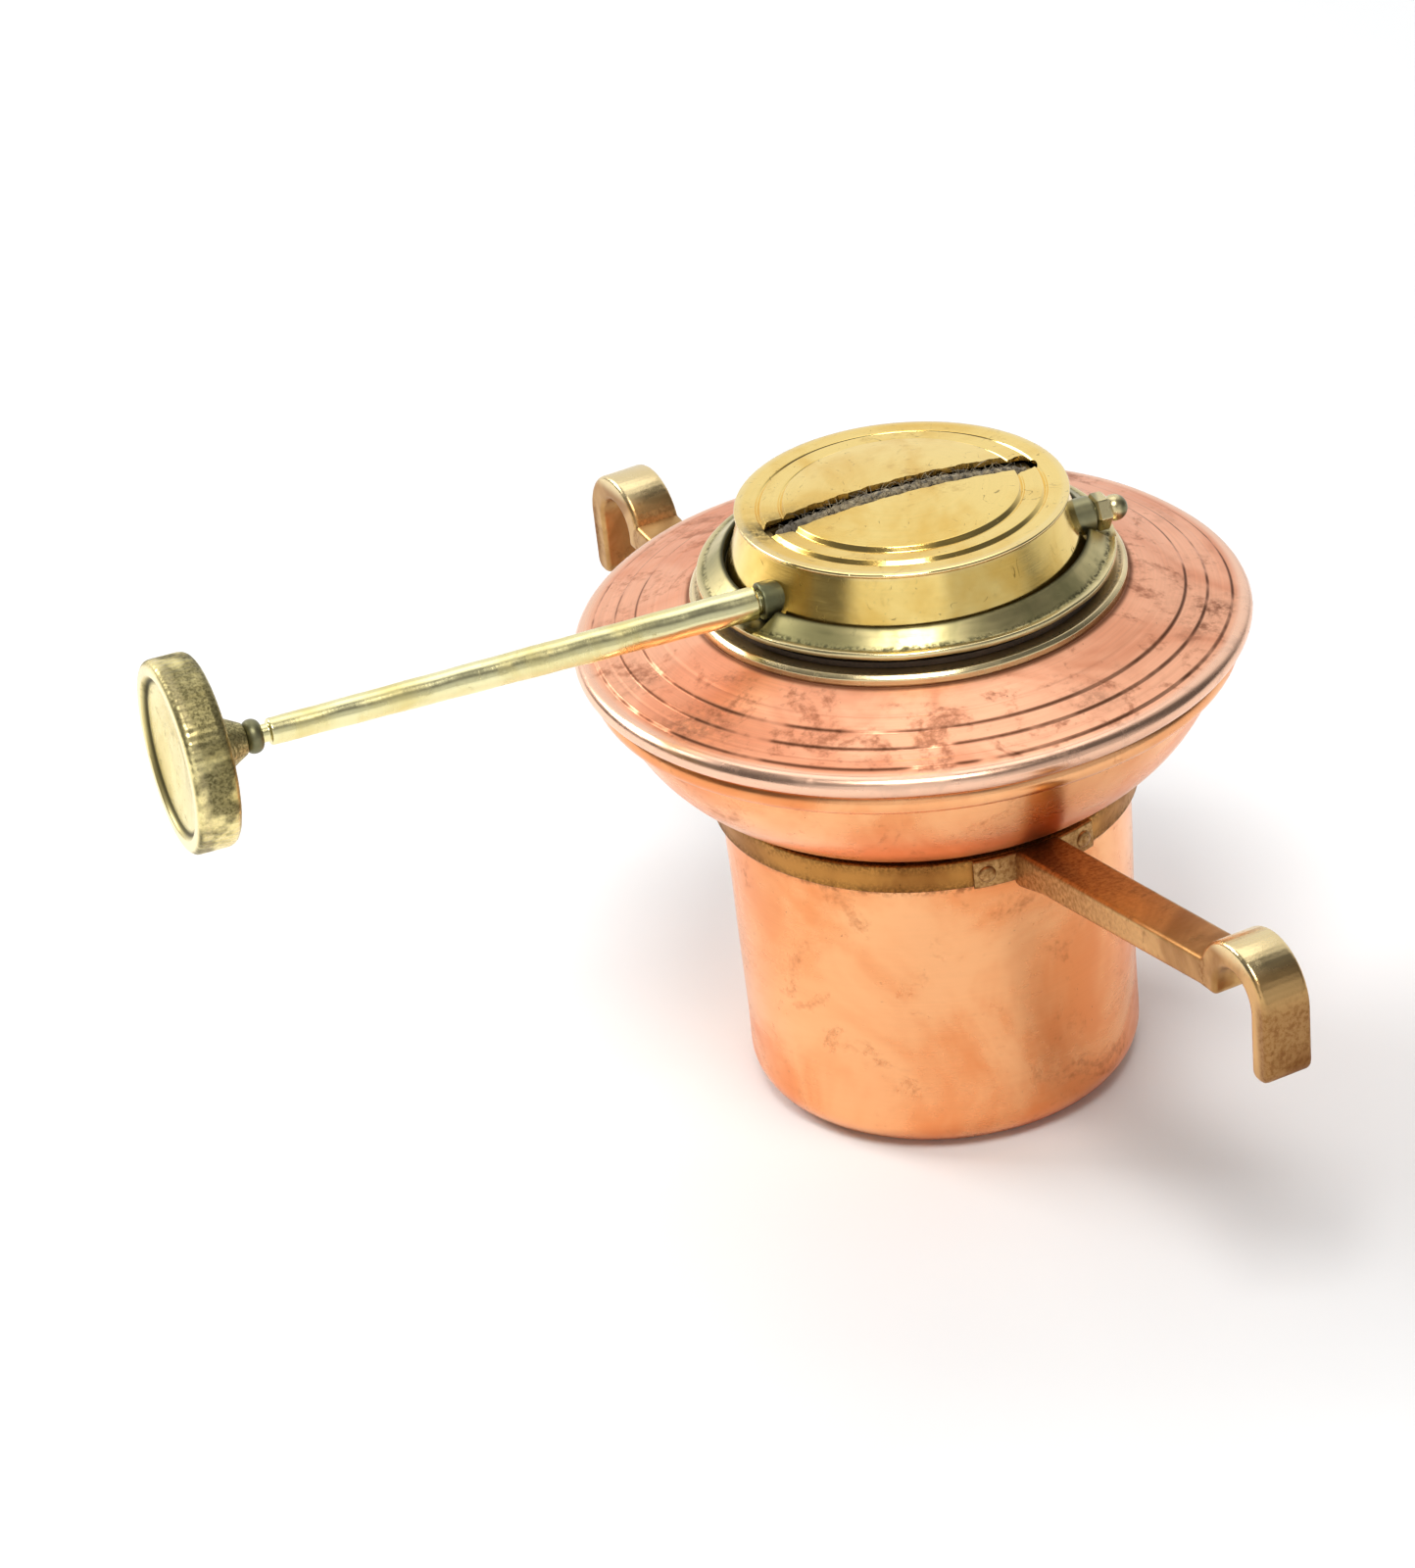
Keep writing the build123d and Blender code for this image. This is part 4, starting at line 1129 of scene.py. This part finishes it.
def makeWick():
    # A flat cotton strip with round edges. Its section closes onto its middle plane over the top and under
    # the tail, by a quarter circle, and its top follows the dome's crown with a ragged edge.
    halfWide, halfDeep = spindleHalf("wick", 0), spindleHalf("wick", 1)
    low, high = wickSpan[0][2], wickSpan[1][2] - 0.25
    soft = wickShape["soft"]
    corners = [(x * halfWide, y * halfDeep, soft) for x, y in ((-1, -1), (1, -1), (1, 1), (-1, 1))]
    section = roundedOutline(corners, spacing=0.5)
    turn = np.linspace(0, pi / 2, 7)
    squeeze = np.concatenate([np.sin(turn), np.ones(60), np.cos(turn)])
    share = [(1 - np.cos(turn)) * 0.01, np.linspace(0.02, 0.975, 60), 0.98 + 0.02 * np.sin(turn)]
    share = np.concatenate(share)
    crown = wickShape["crown"] * (section[:, 0] / halfWide) ** 2
    height = low + (high - low - crown[None]) * share[:, None]
    ragged = np.sin(section[:, 0] * 5.3) * 0.5 + np.sin(section[:, 0] * 11.9 + 2) * 0.5
    fray = np.clip((share[:, None] - 0.95) / 0.05, 0, 1) * wickShape["frayDepth"]
    height -= fray * (0.5 + 0.5 * ragged[None])
    across = section[None, :, 1] * squeeze[:, None] * (1 - 0.03 * np.cos(section[None, :, 0] * 2.1))
    points = np.stack([np.tile(section[:, 0], (len(share), 1)), across, height], -1)
    makePiece("wickStrip", "wick", [onHead((points, False, True, False))])


def makeStrands():
    # Loose fibres along the wick's top. Each is a thin four-sided tube on a curve that rises and then leans.
    draw = np.random.default_rng(7)
    count, rings = wickShape["strands"], 5
    halfWide, halfDeep = spindleHalf("wick", 0) - 0.6, spindleHalf("wick", 1)
    x = draw.uniform(-halfWide, halfWide, count)
    y = draw.uniform(-halfDeep * 0.9, halfDeep * 0.9, count)
    z = wickSpan[1][2] - 0.75 - wickShape["crown"] * (x / halfWide) ** 2
    length = draw.uniform(*wickShape["strandLength"], count)
    lean = draw.normal(0, 0.75, (count, 2))
    share = np.linspace(0, 1, rings)[None]
    swing = length[:, None] * share**1.6
    path = np.stack([
        x[:, None] + lean[:, :1] * swing, y[:, None] + lean[:, 1:] * swing * 0.6,
        z[:, None] + length[:, None] * (share - 0.35 * share**2),
    ], -1)
    path[..., 0] = np.clip(path[..., 0], -halfWide, halfWide)
    path[..., 1] = np.clip(path[..., 1], 0.1 - halfDeep, halfDeep - 0.1)
    path[..., 2] = np.minimum(path[..., 2], wickSpan[1][2] - 0.02)
    corner = np.arange(4) * pi / 2
    thick = wickShape["strandRadius"] * (1 - 0.6 * share)[..., None]
    ring = np.stack([np.cos(corner), np.sin(corner), 0 * corner], -1)
    points = path[:, :, None] + ring[None, None] * thick[..., None]
    strands = [(turnHead(strand), False, True, True) for strand in points]
    piece = makeMesh("wickStrands", strands, 60)
    finishPiece(piece, "wick")


makeCollar()
makeBase()
makeDrum()
makeDome()
print("burner head built")
makeBushes()
makeRod()
makeFerrule()
makeKnob()
makeNut()
print("spindle pieces built")
makeWick()
makeStrands()
print("wick built")
